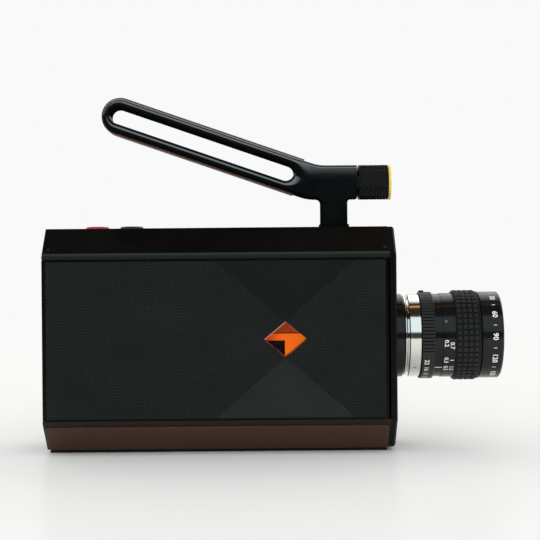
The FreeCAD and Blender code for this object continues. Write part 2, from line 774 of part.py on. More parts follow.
def data_socket_y():
    return (-D.socket_wide / 2, D.socket_wide / 2)


def data_socket_z():
    return (port_z - D.socket_tall / 2, port_z + D.socket_tall / 2)


def magnet_heights():
    third = (panel_top - panel_bottom) / 6
    return (panel_bottom + third, panel_top - third)


def left_panel():
    body = Body("left_panel")
    body.box((rear, front), (panel_inside, side), (panel_bottom, panel_top))
    body.box(
        (display_rear - D.tray_side, display_front + D.seam),
        (panel_inside, side),
        (display_low - D.seam, display_high + D.seam),
        cut=True,
    )
    reach = D.seam + D.display_pin_long / 2
    for low in (display_low - reach, display_high):
        body.rod("Z", low, low + reach, (display_axis_x, display_axis_y), D.display_pin, cut=True)
    body.rod("Y", panel_inside, side, (jog_x, jog_z), D.jog_shaft + D.running, cut=True)
    body.round(D.end_round, both(along("Z"), at(0, rear), at(1, side)))


def chamfer_leather(name, hand):
    """Leather strip glued on a lower chamfer. hand is -1 on the right side and 1 on the left."""
    body = Body(name)
    long = D.front_reach - D.leather_front + D.rear_reach - D.leather_rear
    high = (D.bottom_chamfer - D.leather_low - D.leather_high) * math.sqrt(2)
    body.pad("Z", 0, D.leather_thick, [(0, 0), (long, 0), (long, high), (0, high)])
    body.round(D.leather_corner, along("Z"))
    body.place(
        rear + D.leather_rear if hand < 0 else front - D.leather_front,
        hand * (side - D.bottom_chamfer + D.leather_low),
        D.case_bottom + D.leather_low,
    )
    turn = FreeCAD.Rotation(FreeCAD.Vector(1, 0, 0), 135)
    if hand > 0:
        turn = FreeCAD.Rotation(FreeCAD.Vector(0, 0, 1), 180) * turn
    body.body.Placement = FreeCAD.Placement(body.body.Placement.Base, turn)


def base_pad():
    body = Body("base_pad")
    half = side - D.bottom_chamfer - D.base_pad_inset
    body.box((rear + D.base_pad_rear, front - D.base_pad_front), (-half, half), (0, D.case_bottom))
    body.rod("Z", 0, D.case_bottom, (0, 0), D.bush_radius + D.seam, cut=True)
    body.round(D.leather_corner, both(along("Z"), far_from_axis))


def far_from_axis(edge):
    return edge.CenterOfMass.Length > D.bush_flange.value * 2


def tripod_bush():
    body = Body("tripod_bush")
    body.turned("Z", [
        (0, 0),
        (D.bush_radius, 0),
        (D.bush_radius, floor),
        (D.bush_flange, floor),
        (D.bush_flange, floor + D.bush_flange_thick),
        (D.bush_radius, floor + D.bush_flange_thick),
        (D.bush_radius, D.bush_tall),
        (0, D.bush_tall),
    ])
    body.rod("Z", 0, D.socket_deep, (0, 0), D.socket_radius, cut=True)


def cover_screws():
    slant = math.sqrt(0.5)
    things = []
    for n, (place, direction) in enumerate(screw_places()):
        turn = FreeCAD.Rotation(FreeCAD.Vector(0, 0, 1), FreeCAD.Vector(*direction))
        rods = []
        for part, radius, out, tall in (
            ("shank", D.screw_radius, 0, D.screw_long),
            ("head", D.screw_head, D.screw_head_tall, D.screw_head_tall),
        ):
            rod = doc.addObject("Part::Cylinder", f"screw_{part}_{n}")
            bind(rod, "Radius", radius)
            bind(rod, "Height", tall)
            rod.Placement = FreeCAD.Placement(FreeCAD.Vector(), turn)
            for letter, spot, lean in zip("xyz", place, direction):
                bind(rod, f"Placement.Base.{letter}", spot - as_size(out) * lean * slant)
            rods.append(rod)
        screw = doc.addObject("Part::Fuse", f"screw_{n}")
        screw.Base, screw.Tool = rods
        things.append(screw)
    group("cover_screws", things)


def chassis_plate():
    body = Body("chassis_plate")
    body.box((rear_inside, gate_rear), (cart_left, chassis_left), (floor, roof))
    body.rod("Y", cart_left, chassis_left, (spindle_x, lens_z), D.spindle_radius + D.running, cut=True)
    body.rod("Y", cart_left, chassis_left, (motor_x, lens_z), D.shaft_radius * 2, cut=True)


def gate_plate():
    body = Body("gate_plate")
    body.pad("X", gate_rear, gate_front, cavity())
    wide = D.frame_wide / 2
    tall = D.frame_tall / 2
    body.box((gate_rear, gate_front), (-wide, wide), (lens_z - tall, lens_z + tall), cut=True)


def cartridge():
    body = Body("cartridge_shell")
    body.box((cart_rear, gate_rear), (cart_right, cart_left), (cart_low, cart_high))
    body.round(D.cart_round, along("Y"))
    room = D.cart_wall
    body.box(
        (cart_rear + room, gate_rear - room),
        (cart_right + room, cart_left - room),
        (cart_low + room, cart_high - room),
        cut=True,
    )
    half = D.film_wide / 2
    tall = D.strip_tall / 2
    body.box((gate_rear - room, gate_rear), (-half, half), (lens_z - tall, lens_z + tall), cut=True)
    body.rod("Y", cart_left - room, cart_left, (spindle_x, lens_z), D.spindle_radius * 2, cut=True)

    label = Body("cartridge_label")
    label.box(
        (cart_middle - D.label_long / 2, cart_middle + D.label_long / 2),
        (cart_right - D.label_thick, cart_right),
        (lens_z - D.label_tall / 2, lens_z + D.label_tall / 2),
    )
    label.round(D.cart_round / 2, along("Y"))

    strip = Body("film_strip")
    film_plane = flange_x - D.film_back
    strip.box((film_plane - D.film_thick, film_plane), (-half, half), (lens_z - tall, lens_z + tall))

    roll = Body("film_roll")
    inside = cart_right + room
    roll.turned("Y", [
        (D.core_radius, inside),
        (D.roll_radius, inside),
        (D.roll_radius, inside + D.film_wide),
        (D.core_radius, inside + D.film_wide),
    ])
    roll.place(x=cart_rear + room + D.roll_radius + D.seam, z=lens_z)


def gear_shape(teeth, thick):
    """Involute gear square to Y, from y = 0, with one tooth pointing along +X."""
    module = D.tooth_module.value
    pitch = module * teeth / 2
    base = pitch * math.cos(PRESSURE_ANGLE)
    bottom = pitch - TOOTH_DEPTH * module
    tip = pitch + TOOTH_RISE * module
    spread = math.tan(PRESSURE_ANGLE) - PRESSURE_ANGLE
    half_pitch = (math.pi * module - D.backlash.value) / (4 * pitch) + spread

    def flank(radius):
        lean = math.acos(min(1.0, base / radius))
        return half_pitch - (math.tan(lean) - lean)

    steps = 4
    start = max(base, bottom)
    radii = [start + (tip - start) * n / steps for n in range(steps + 1)]
    spots = []
    for tooth in range(int(teeth)):
        middle = 2 * math.pi * tooth / teeth
        rising = [(bottom, middle - flank(start))] + [(r, middle - flank(r)) for r in radii]
        falling = [(r, 2 * middle - angle) for r, angle in reversed(rising)]
        spots += rising + falling
    corners = [FreeCAD.Vector(r * math.cos(a), 0, r * math.sin(a)) for r, a in spots]
    face = Part.Face(Part.makePolygon(corners + corners[:1]))
    return face.extrude(FreeCAD.Vector(0, thick, 0))


def rod_shape(radius, start, end):
    """Round rod along Y about the origin."""
    return Part.makeCylinder(radius, end - start, FreeCAD.Vector(0, start, 0), FreeCAD.Vector(0, 1, 0))


def take_up_drive():
    gear_right = chassis_left + D.gear_gap
    thick = D.gear_thick.value
    below = D.gear_gap.value + D.chassis_thick.value
    pinion = gear_shape(D.pinion_teeth.value, thick)
    shaft = rod_shape(D.shaft_radius.value, -below - D.shaft_in_motor.value, thick + D.shaft_stub.value)
    freeform("motor_pinion", pinion.fuse(shaft).removeSplitter(), (motor_x, gear_right, lens_z))

    gear = gear_shape(D.gear_teeth.value, thick)
    half_tooth = 180.0 / D.gear_teeth.value
    gear.rotate(FreeCAD.Vector(), FreeCAD.Vector(0, 1, 0), half_tooth)
    for n in range(int(D.gear_holes.value)):
        angle = 2 * math.pi * n / D.gear_holes.value
        reach = D.gear_hole_ring.value
        spot = FreeCAD.Vector(reach * math.cos(angle), 0, reach * math.sin(angle))
        gear = gear.cut(Part.makeCylinder(D.gear_hole.value, thick, spot, FreeCAD.Vector(0, 1, 0)))
    spindle = rod_shape(D.spindle_radius.value, -below - D.spindle_reach.value, thick)
    freeform("takeup_spindle", gear.fuse(spindle).removeSplitter(), (spindle_x, gear_right, lens_z))

    motor = Body("takeup_motor")
    motor.rod("Y", cart_left - D.motor_long, cart_left, (motor_x, lens_z), D.motor_radius)
    deep = D.shaft_in_motor + D.seam
    motor.rod("Y", cart_left - deep, cart_left, (motor_x, lens_z), D.shaft_radius + D.running, cut=True)


def shutter():
    motor = Body("shutter_motor")
    middle = (-D.shutter_side, lens_z)
    motor_front = gate_front + D.shutter_motor_long
    thin = D.shutter_shaft
    motor.rod("X", gate_front, motor_front, middle, D.shutter_motor_radius)
    motor.rod("X", motor_front - D.shutter_shaft_in, motor_front, middle, thin + D.running, cut=True)

    disc = Body("shutter_disc")
    disc_rear = motor_front + D.seam
    disc_front = disc_rear + D.shutter_thick
    disc.rod("X", disc_rear, disc_front, (0, 0), D.shutter_radius)
    disc.rod("X", motor_front - D.shutter_shaft_in + D.seam, disc_front + D.shutter_thick, (0, 0), thin)
    reach = D.shutter_radius
    disc.box((disc_rear, disc_front), (D.shutter_web, reach), (-reach, reach), cut=True)
    disc.place(y=-D.shutter_side, z=lens_z)


def electronics():
    board = Body("main_board")
    board.box(
        (display_middle - D.board_long / 2, display_middle + D.board_long / 2),
        (tray_back - D.board_thick, tray_back),
        (lens_z - D.board_tall / 2, lens_z + D.board_tall / 2),
    )
    chip = D.chip_side / 2
    for x, z in ((-1, 1), (1, 1), (1, -1)):
        middle_x = display_middle + D.board_long / 4 * x
        middle_z = lens_z + D.board_tall / 4 * z
        board.box(
            (middle_x - chip, middle_x + chip),
            (tray_back - D.board_thick - D.chip_thick, tray_back - D.board_thick),
            (middle_z - chip, middle_z + chip),
        )

    battery = Body("battery_pack")
    battery.box(
        (rear_face + D.socket_long + D.battery_gap, motor_x - D.motor_radius - D.battery_gap),
        (cart_left - D.battery_wide, cart_left),
        (lens_z - D.battery_tall / 2, lens_z + D.battery_tall / 2),
    )
    battery.round(D.battery_round, along("Z"))

    switches = Body("switch_board")
    flange_low = roof - D.seam - D.button_travel * 2
    top = flange_low - D.button_travel - D.dome_gap - D.dome_tall
    switches.box(
        (record_x - D.button_flange, menu_x + D.button_flange),
        (-D.button_flange, cart_left),
        (top - D.board_thick, top),
    )
    for x in (record_x, menu_x):
        switches.rod("Z", top, top + D.dome_tall, (x, 0), D.dome_radius)

    socket = Body("data_socket")
    y = data_socket_y()
    z = data_socket_z()
    skin = D.socket_skin
    room = skin * 2
    back = rear_face + D.socket_long
    socket.box((rear_face, back), y, z)
    socket.box((rear_face, back - room), (y[0] + skin, y[1] - skin), (z[0] + skin, z[1] - skin), cut=True)
    inset = skin + D.socket_tongue
    socket.box((rear_face + skin, back - room), (y[0] + inset, y[1] - inset), (z[0] + inset, z[1] - inset))


def port_cover():
    body = Body("port_cover")
    half = D.port_wide / 2
    axis = (port_axis_x, port_axis_z)
    top = port_z + D.port_tall / 2
    body.box((port_outer, port_outer + D.port_thick), (-half, half), (port_axis_z, top))
    body.rod("Y", -half, half, axis, D.port_thick / 2)
    reach = half + D.seam + D.trunnion_long - D.button_clear
    body.rod("Y", -reach, reach, axis, D.trunnion_radius)


def button(name, x):
    """Push button with a flange under the cover."""
    body = Body(name)
    top = case_top + D.button_rise
    flange_high = roof - D.seam
    flange_low = flange_high - D.button_travel * 2
    body.turned("Z", [
        (0, flange_low),
        (D.button_flange, flange_low),
        (D.button_flange, flange_high),
        (D.button_radius, flange_high),
        (D.button_radius, top - D.button_chamfer),
        (D.button_radius - D.button_chamfer, top),
        (0, top),
    ])
    body.place(x=x)


def hinge_pins():
    door = []
    for n, (low, high) in enumerate((
        (bottom_edge - D.pin_in_cover, panel_bottom + D.pin_in_door),
        (panel_top - D.pin_in_door, top_edge + D.pin_in_cover),
    )):
        door.append(solid_rod(f"door_pin_{n}", "Z", low, high, (hinge_x, hinge_y), D.pin_radius))
    reach = D.display_pin_long / 2
    for n, (low, high) in enumerate((
        (display_low - D.seam - reach, display_low + reach),
        (display_high - reach, display_high + D.seam + reach),
    )):
        spot = (display_axis_x, display_axis_y)
        door.append(solid_rod(f"display_pin_{n}", "Z", low, high, spot, D.display_pin))
    group("hinge_pins", door)


def door_magnets():
    middle = (rear_face + rear_inside) / 2
    low = lip_right_face
    high = lip_right_face + D.magnet_thick
    things = []
    for n, height in enumerate(magnet_heights()):
        things.append(solid_rod(f"magnet_{n}", "Y", low, high, (middle, height), D.magnet_radius / 2))
    group("door_magnets", things)


def diamond(wide, tall):
    """Corners of a diamond about the window's middle."""
    return [
        (cart_middle - wide / 2, lens_z),
        (cart_middle, lens_z - tall / 2),
        (cart_middle + wide / 2, lens_z),
        (cart_middle, lens_z + tall / 2),
    ]


def door():
    body = Body("door_panel")
    face = -side
    inner = -panel_inside
    body.box((rear, hinge_x), (face, inner), (panel_bottom, panel_top))
    body.rod("Z", panel_bottom, panel_top, (hinge_x, hinge_y), D.knuckle_radius)
    body.round(D.end_round, both(along("Z"), at(0, rear), at(1, face)))
    left = rear + D.skin_rear
    right = hinge_x - D.seam
    low = panel_bottom + D.skin_edge
    high = panel_top - D.skin_edge
    body.box((left, right), (face, face + D.skin_thick), (low, high), cut=True)
    body.pocket("Y", face, inner, diamond(D.window_wide, D.window_tall))
    hole = D.pin_radius + D.running
    body.rod("Z", panel_bottom, panel_bottom + D.pin_in_door + D.seam, (hinge_x, hinge_y), hole, cut=True)
    body.rod("Z", panel_top - D.pin_in_door - D.seam, panel_top, (hinge_x, hinge_y), hole, cut=True)

    west, south, east, north = diamond(D.window_wide, D.window_tall)
    run_up = (high - north[1]) / D.field_slope
    run_down = (south[1] - low) / D.field_slope
    skin = (face, face + D.skin_thick)
    upper_left = (cart_middle - run_up, high)
    upper_right = (cart_middle + run_up, high)
    lower_left = (cart_middle - run_down, low)
    lower_right = (cart_middle + run_down, low)
    fields = {
        "door_skin_rear": [(left, low), lower_left, south, west, north, upper_left, (left, high)],
        "door_skin_front": [(right, low), (right, high), upper_right, north, east, south, lower_right],
        "door_skin_top": [north, upper_right, upper_left],
        "door_skin_bottom": [south, lower_left, lower_right],
    }
    for name, points in fields.items():
        Body(name).pad("Y", *skin, points)

    pane = Body("window_pane")
    pane_face = face + D.window_sink
    pane.pad("Y", pane_face, pane_face + D.window_thick, diamond(D.window_wide, D.window_tall))

    block = Body("pressure_block")
    foam_face = cart_right - D.label_thick - D.foam_clear
    foam_back = foam_face - D.foam_thick
    x = (cart_middle - D.block_long / 2, cart_middle + D.block_long / 2)
    z = (lens_z - D.block_tall / 2, lens_z + D.block_tall / 2)
    block.box(x, (inner, foam_back), z)
    block.round(D.block_round, along("Y"))
    block.pocket("Y", inner, foam_back, diamond(D.window_wide, D.window_tall))

    foam = Body("pressure_foam")
    foam.box(x, (foam_back, foam_face), z)
    foam.round(D.block_round, along("Y"))
    foam.pocket("Y", foam_back, foam_face, diamond(D.window_wide, D.window_tall))


def display():
    body = Body("display_housing")
    inner = side - D.display_thick
    body.box((display_rear, display_front), (inner, side), (display_low, display_high))
    body.round(D.display_round, both(along("Z"), at(0, display_front), at(1, side)))
    mid_z = (display_low + display_high) / 2
    x = (display_middle - D.screen_long / 2, display_middle + D.screen_long / 2)
    z = (mid_z - D.screen_tall / 2, mid_z + D.screen_tall / 2)
    body.box(x, (inner, inner + D.screen_thick), z, cut=True)
    deep = D.display_pin_long / 2 + D.seam
    hole = D.display_pin + D.running
    spot = (display_axis_x, display_axis_y)
    body.rod("Z", display_low, display_low + deep, spot, hole, cut=True)
    body.rod("Z", display_high - deep, display_high, spot, hole, cut=True)

    screen = Body("display_screen")
    screen.box(x, (inner, inner + D.screen_thick), z)

    tray = Body("display_tray")
    gap = D.tray_side
    wall = gap + D.tray_wall
    tray.box(
        (display_rear - wall, display_front + wall),
        (tray_back, panel_inside),
        (display_low - wall, display_high + wall),
    )
    tray.box(
        (display_rear - gap, display_front + gap),
        (tray_back + D.tray_wall, panel_inside),
        (display_low - gap, display_high + gap),
        cut=True,
    )


def jog_wheel():
    body = Body("jog_wheel")
    start = side + D.seam
    clip = panel_inside - D.seam
    body.turned("Y", [
        (0, clip - D.panel_thick / 2),
        (D.jog_clip, clip - D.panel_thick / 2),
        (D.jog_clip, clip),
        (D.jog_shaft, clip),
        (D.jog_shaft, start),
        (D.jog_radius, start),
        (D.jog_radius, start + D.jog_thick),
        (0, start + D.jog_thick),
    ])
    body.place(x=jog_x, z=jog_z)
    body.round(D.fascia_bevel, at(1, start + D.jog_thick))


def corner_arcs(corners):
    """Wire through (x, z, radius) corners in the XZ plane, with an arc at each corner that has a radius."""
    spots = [FreeCAD.Vector(x, 0, z) for x, z, _radius in corners]
    count = len(spots)
    edges = []
    ends = []
    for n, (_x, _z, radius) in enumerate(corners):
        here = spots[n]
        back = (spots[n - 1] - here).normalize()
        ahead = (spots[(n + 1) % count] - here).normalize()
        if not radius:
            ends.append((here, here))
            continue
        half = back.getAngle(ahead) / 2
        cut = radius / math.tan(half)
        bisector = (back + ahead).normalize()
        middle = here + bisector * (radius / math.sin(half) - radius)
        start = here + back * cut
        stop = here + ahead * cut
        ends.append((start, stop))
        edges.append((n, Part.Arc(start, middle, stop).toShape()))
    arcs = dict(edges)
    path = []
    for n in range(count):
        if n in arcs:
            path.append(arcs[n])
        path.append(Part.LineSegment(ends[n][1], ends[(n + 1) % count][0]).toShape())
    return Part.Wire(path)


def handle():
    slope = math.radians(D.loop_rise.value)
    ahead = FreeCAD.Vector(math.cos(slope), 0, -math.sin(slope))
    over = FreeCAD.Vector(math.sin(slope), 0, math.cos(slope))
    radius = D.loop_radius.value
    blend = D.loop_blend.value
    small = D.post_blend.value
    neck_top = (neck_z + D.neck_tall / 2).value
    neck_low = (neck_z - D.neck_tall / 2).value
    neck_end = neck_front.value
    post_rear = (D.post_reach - D.post_long / 2).value
    post_front = (D.post_reach + D.post_long / 2).value
    post_low = (foot_top + D.lift_gap).value
    wide = D.handle_wide.value
    corner_x = post_rear - small - D.neck_land.value - blend * math.tan(slope / 2)
    on_axis = FreeCAD.Vector(corner_x, 0, neck_low) + over * radius
    centre = on_axis - ahead * D.loop_reach.value

    def on_line(start, height):
        """Where the line along the loop from a start reaches a height."""
        return start.x + (start.z - height) / math.tan(slope)

    top_start = centre + over * radius
    low_start = centre - over * radius
    outline = corner_arcs([
        (top_start.x, top_start.z, 0),
        (on_line(top_start, neck_top), neck_top, blend),
        (neck_end, neck_top, 0),
        (neck_end, neck_low, 0),
        (post_front, neck_low, small),
        (post_front, post_low, 0),
        (post_rear, post_low, 0),
        (post_rear, neck_low, small),
        (corner_x, neck_low, blend),
        (low_start.x, low_start.z, 0),
    ])
    edges = outline.Edges[:-1]
    edges.append(Part.Arc(low_start, centre - ahead * radius, top_start).toShape())
    slot = D.slot_radius.value
    near = centre - ahead * D.slot_behind.value
    far = on_axis - ahead * D.slot_front.value
    slot_wire = Part.Wire([
        Part.LineSegment(near + over * slot, far + over * slot).toShape(),
        Part.Arc(far + over * slot, far + ahead * slot, far - over * slot).toShape(),
        Part.LineSegment(far - over * slot, near - over * slot).toShape(),
        Part.Arc(near - over * slot, near - ahead * slot, near + over * slot).toShape(),
    ])
    face = Part.Face(Part.Wire(edges)).cut(Part.Face(slot_wire)).Faces[0]
    solid = face.extrude(FreeCAD.Vector(0, wide, 0))
    solid.translate(FreeCAD.Vector(0, -wide / 2, 0))

    def long_edge(edge):
        ends = [abs(abs(vertex.Point.y) - wide / 2) < 1e-4 for vertex in edge.Vertexes]
        flat = abs(edge.Vertexes[0].Point.y - edge.Vertexes[-1].Point.y) < 1e-4
        middle = edge.CenterOfMass
        at_front = abs(middle.x - neck_end) < 1e-4
        at_foot = abs(middle.z - post_low) < 1e-4
        return all(ends) and flat and not at_front and not at_foot

    wall = radius - slot - D.slot_behind.value
    soft = min(D.handle_round.value, wall * LESS_THAN_HALF)
    solid = solid.makeFillet(soft, [edge for edge in solid.Edges if long_edge(edge)])
    bore = D.spigot_radius.value + D.running.value
    tall = (neck_z + D.spigot_over + D.spigot_room).value - post_low
    start = FreeCAD.Vector(D.post_reach.value, 0, post_low)
    solid = solid.cut(Part.makeCylinder(bore, tall, start))
    stem = D.stem_radius.value + D.stem_clear.value
    start = FreeCAD.Vector(D.post_reach.value, 0, neck_z.value)
    bore_long = neck_end - D.post_reach.value
    solid = solid.cut(Part.makeCylinder(stem, bore_long, start, FreeCAD.Vector(1, 0, 0)))
    freeform("handle_frame", solid)

    centre.y = -D.wrap_wide.value / 2
    inside = over * radius
    outside = over * (radius + D.wrap_thick.value)
    behind = centre - ahead * radius
    behind_leather = centre - ahead * (radius + D.wrap_thick.value)
    end = centre + ahead * (D.loop_reach - D.wrap_short).value
    strip = Part.Wire([
        Part.LineSegment(centre + outside, end + outside).toShape(),
        Part.LineSegment(end + outside, end + inside).toShape(),
        Part.LineSegment(end + inside, centre + inside).toShape(),
        Part.Arc(centre + inside, behind, centre - inside).toShape(),
        Part.LineSegment(centre - inside, end - inside).toShape(),
        Part.LineSegment(end - inside, end - outside).toShape(),
        Part.LineSegment(end - outside, centre - outside).toShape(),
        Part.Arc(centre - outside, behind_leather, centre + outside).toShape(),
    ])
    freeform("handle_leather", Part.Face(strip).extrude(FreeCAD.Vector(0, D.wrap_wide.value, 0)))


def handle_foot():
    body = Body("handle_foot")
    half_long = D.foot_long / 2
    half_wide = D.foot_wide / 2
    spigot_top = neck_z + D.spigot_over
    long = (D.post_reach - half_long, D.post_reach + half_long)
    body.box(long, (-half_wide, half_wide), (case_top, foot_top))
    body.round(D.foot_round, along("Z"))
    body.rod("Z", foot_top, spigot_top, (D.post_reach, 0), D.spigot_radius)
    body.round(D.spigot_chamfer, at(2, spigot_top), kind="Chamfer")


def clamp():
    pad = Body("clamp_pad")
    start = D.post_reach + D.spigot_radius + D.clamp_gap
    pad.rod("X", start, start + D.clamp_long, (0, 0), D.stem_radius)
    pad.place(z=neck_z)

    knob = Body("knob")
    shoulder = neck_front + D.stem_clear
    knurl = neck_front + D.waist_long
    end = knurl + D.knob_long
    knob.turned("X", [
        (start + D.clamp_long + D.stem_clear, 0),
        (start + D.clamp_long + D.stem_clear, D.stem_radius),
        (shoulder, D.stem_radius),
        (shoulder, D.waist_radius),
        (knurl, D.waist_radius),
        (knurl, D.knob_radius - D.knob_chamfer),
        (knurl + D.knob_chamfer, D.knob_radius),
        (end, D.knob_radius),
        (end, 0),
    ])
    knob.place(z=neck_z)

    ring = Body("knob_end_ring")
    ring.turned("X", [
        (end, 0),
        (end, D.knob_radius),
        (end + D.ring_long - D.knob_chamfer, D.knob_radius),
        (end + D.ring_long, D.knob_radius - D.knob_chamfer),
        (end + D.ring_long, D.ring_inner + D.ring_dish),
        (end + D.ring_long - D.ring_dish, D.ring_inner),
        (end + D.ring_long - D.ring_dish, 0),
    ])
    ring.place(z=neck_z)


def lens_ring(name, points):
    body = Body(name)
    body.turned("X", points)
    body.place(z=lens_z)
    return body


def tube_points(start, end, inner, outer):
    return [(start, inner), (start, outer), (end, outer), (end, inner)]


def lens_fixed():
    lens_ring("mount_boss", [
        (front, D.thread_radius),
        (front, boss_spigot),
        (fascia_front, boss_spigot),
        (fascia_front, D.boss_radius),
        (flange_x - D.end_round, D.boss_radius),
        (flange_x, D.boss_radius - D.end_round),
        (flange_x, D.thread_radius),
    ])
    seat = flange_x + D.flange_thick
    lens_ring("lens_flange", [
        (flange_x - D.thread_long, D.rear_bore),
        (flange_x - D.thread_long, D.thread_radius),
        (flange_x, D.thread_radius),
        (flange_x, D.flange_radius),
        (seat, D.flange_radius),
        (seat, D.rear_bore),
    ])
    ring = lens_ring("lens_rear_ring", tube_points(seat, scale_front, D.tube_radius, D.scale_radius))
    ring.round(D.end_round, at(0, seat), kind="Chamfer")
    tube_front = focus_front - D.tube_short
    web = iris_rear + D.web_set
    lens_ring("lens_tube", [
        (seat, D.tube_bore),
        (seat, D.tube_radius),
        (collar_rear, D.tube_radius),
        (collar_rear, D.collar_radius),
        (collar_front, D.collar_radius),
        (collar_front, D.tube_radius),
        (tube_front, D.tube_radius),
        (tube_front, D.tube_bore),
        (web + D.web_thick, D.tube_bore),
        (web + D.web_thick, D.web_bore),
        (web, D.web_bore),
        (web, D.tube_bore),
    ])


def lens_turning():
    bore = D.tube_radius + D.running
    iris = lens_ring("iris_ring", [
        (iris_rear, bore),
        (iris_rear, D.iris_radius - D.iris_bevel),
        (iris_rear + D.iris_bevel, D.iris_radius),
        (iris_front - D.iris_bevel, D.iris_radius),
        (iris_front, D.iris_radius - D.iris_bevel),
        (iris_front, bore),
    ])
    lock_x = iris_rear + D.lock_set
    low = bore + D.lock_wall
    high = D.iris_radius + D.lock_rise
    iris.rod("Z", low, high, (lock_x, 0), D.lock_radius, cut=True)

    screw = Body("iris_lock_screw")
    screw.rod("Z", low, high, (lock_x, 0), D.lock_radius)
    screw.place(z=lens_z)

    lens_ring("focus_ring", tube_points(focus_rear, focus_front, bore, D.focus_radius))

    grip_rear = focus_front - D.grip_long
    grip = lens_ring("focus_grip", tube_points(grip_rear, focus_front, D.focus_radius, D.grip_radius))
    floor_radius = D.grip_radius - D.groove_deep
    beyond = D.grip_radius + D.groove_deep
    column = (D.grip_long + D.groove_wide) / D.grip_columns
    for n in range(1, int(D.grip_columns.value)):
        middle = grip_rear + column * n - D.groove_wide / 2
        grip.turned("X", [
            (middle - D.groove_wide / 2, floor_radius),
            (middle + D.groove_wide / 2, floor_radius),
            (middle + D.groove_wide / 2, beyond),
            (middle - D.groove_wide / 2, beyond),
        ], cut=True)
    half = D.groove_wide / 2
    groove = grip.box((grip_rear, focus_front), (-half, half), (floor_radius, beyond), cut=True)
    grip.repeat(groove, "X", D.grip_count)


def iris_blades():
    web_front = iris_rear + D.web_set + D.web_thick
    wide = D.blade_wide / 2
    notch = D.blade_notch
    corner = D.tube_bore - D.blade_clear
    first = web_front + D.blade_gap
    second = first + D.blade_thick + D.blade_gap
    for name, start, hand in (("iris_blade_upper", first, 1), ("iris_blade_lower", second, -1)):
        blade = Body(name)
        low = hand * D.blade_low
        high = hand * root(corner * corner - wide * wide)
        blade.pad("X", start, start + D.blade_thick, [
            (-wide, low),
            (-notch, low),
            (0, low + hand * notch),
            (notch, low),
            (wide, low),
            (wide, high),
            (-wide, high),
        ])
        blade.place(z=lens_z)


def front_group():
    start = focus_front + D.barrel_gap
    end = start + D.barrel_long
    sleeve = D.tube_bore - D.running
    seat = end - D.filter_long - D.glass_set
    lens_ring("front_barrel", [
        (start - D.sleeve_long, D.sleeve_bore),
        (start - D.sleeve_long, sleeve),
        (start, sleeve),
        (start, D.barrel_radius - D.end_round),
        (start + D.end_round, D.barrel_radius),
        (end - D.barrel_bevel, D.barrel_radius),
        (end, D.barrel_radius - D.barrel_bevel),
        (end, D.filter_radius),
        (end - D.filter_long, D.filter_radius),
        (end - D.filter_long, D.filter_radius - D.filter_step),
        (seat, D.sleeve_bore),
    ])
    glass_rear = seat - D.glass_thick
    edge = D.sleeve_bore
    dome = (edge * edge + D.glass_dome * D.glass_dome) / (D.glass_dome * 2)
    blank = solid_rod("glass_blank", "X", glass_rear, seat + D.glass_dome, (0, lens_z), edge)
    ball = doc.addObject("Part::Sphere", "glass_ball")
    bind(ball, "Radius", dome)
    bind(ball, "Placement.Base.x", seat + D.glass_dome - dome)
    bind(ball, "Placement.Base.z", lens_z)
    glass = doc.addObject("Part::Common", "front_element")
    glass.Base = blank
    glass.Tool = ball
    keep("front_element", glass)


# Places of the film drive, the display and the lens rings.
motor_x = cart_rear - D.motor_gap - D.motor_radius
spindle_x = motor_x + D.tooth_module * (D.pinion_teeth + D.gear_teeth) / 2
display_front = front - D.display_front
display_rear = display_front - D.display_long
display_middle = (display_front + display_rear) / 2
display_low = panel_bottom + D.display_edge
display_high = panel_top - D.display_edge
display_axis_x = display_front - D.display_round
display_axis_y = side - D.display_round
jog_x = rear + D.jog_set
jog_z = lens_z + D.jog_rise
tray_back = side - D.display_thick - D.tray_clear - D.tray_wall
scale_front = flange_x + D.flange_thick + D.scale_long
iris_rear = scale_front + D.ring_gap
iris_front = iris_rear + D.iris_long
collar_rear = iris_front + D.ring_gap
collar_front = collar_rear + D.collar_long
focus_rear = collar_front + D.ring_gap
focus_front = focus_rear + D.focus_long


def build():
    top_cover()
    bottom_cover()
    front_plate()
    rear_plate()
    left_panel()
    chamfer_leather("base_leather_right", -1)
    chamfer_leather("base_leather_left", 1)
    base_pad()
    tripod_bush()
    cover_screws()
    chassis_plate()
    gate_plate()
    cartridge()
    take_up_drive()
    shutter()
    electronics()
    port_cover()
    button("record_button", record_x)
    button("menu_button", menu_x)
    hinge_pins()
    door_magnets()
    door()
    display()
    jog_wheel()
    handle_foot()
    handle()
    clamp()
    lens_fixed()
    lens_turning()
    iris_blades()
    front_group()
    doc.recompute()


def check():
    """Stop if any object failed or a piece has no valid solid."""
    for thing in doc.Objects:
        if "Invalid" in thing.State or "Error" in thing.State:
            raise RuntimeError(f"{thing.Label} failed: {thing.State}")
    for name, thing in pieces.items():
        shape = thing.Shape
        if shape.isNull() or not shape.isValid() or not shape.Solids:
            raise RuntimeError(f"{name} has no valid solid")


def export():
    os.makedirs("parts", exist_ok=True)
    for name, thing in pieces.items():
        thing.Shape.exportStep(f"parts/{name}.step")


build()
check()
export()
print(f"{len(pieces)} pieces written")
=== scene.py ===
"""Cartridge movie camera: detail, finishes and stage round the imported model."""

import math
from functools import partial

import bpy
import numpy as np
from mathutils import Matrix, Vector


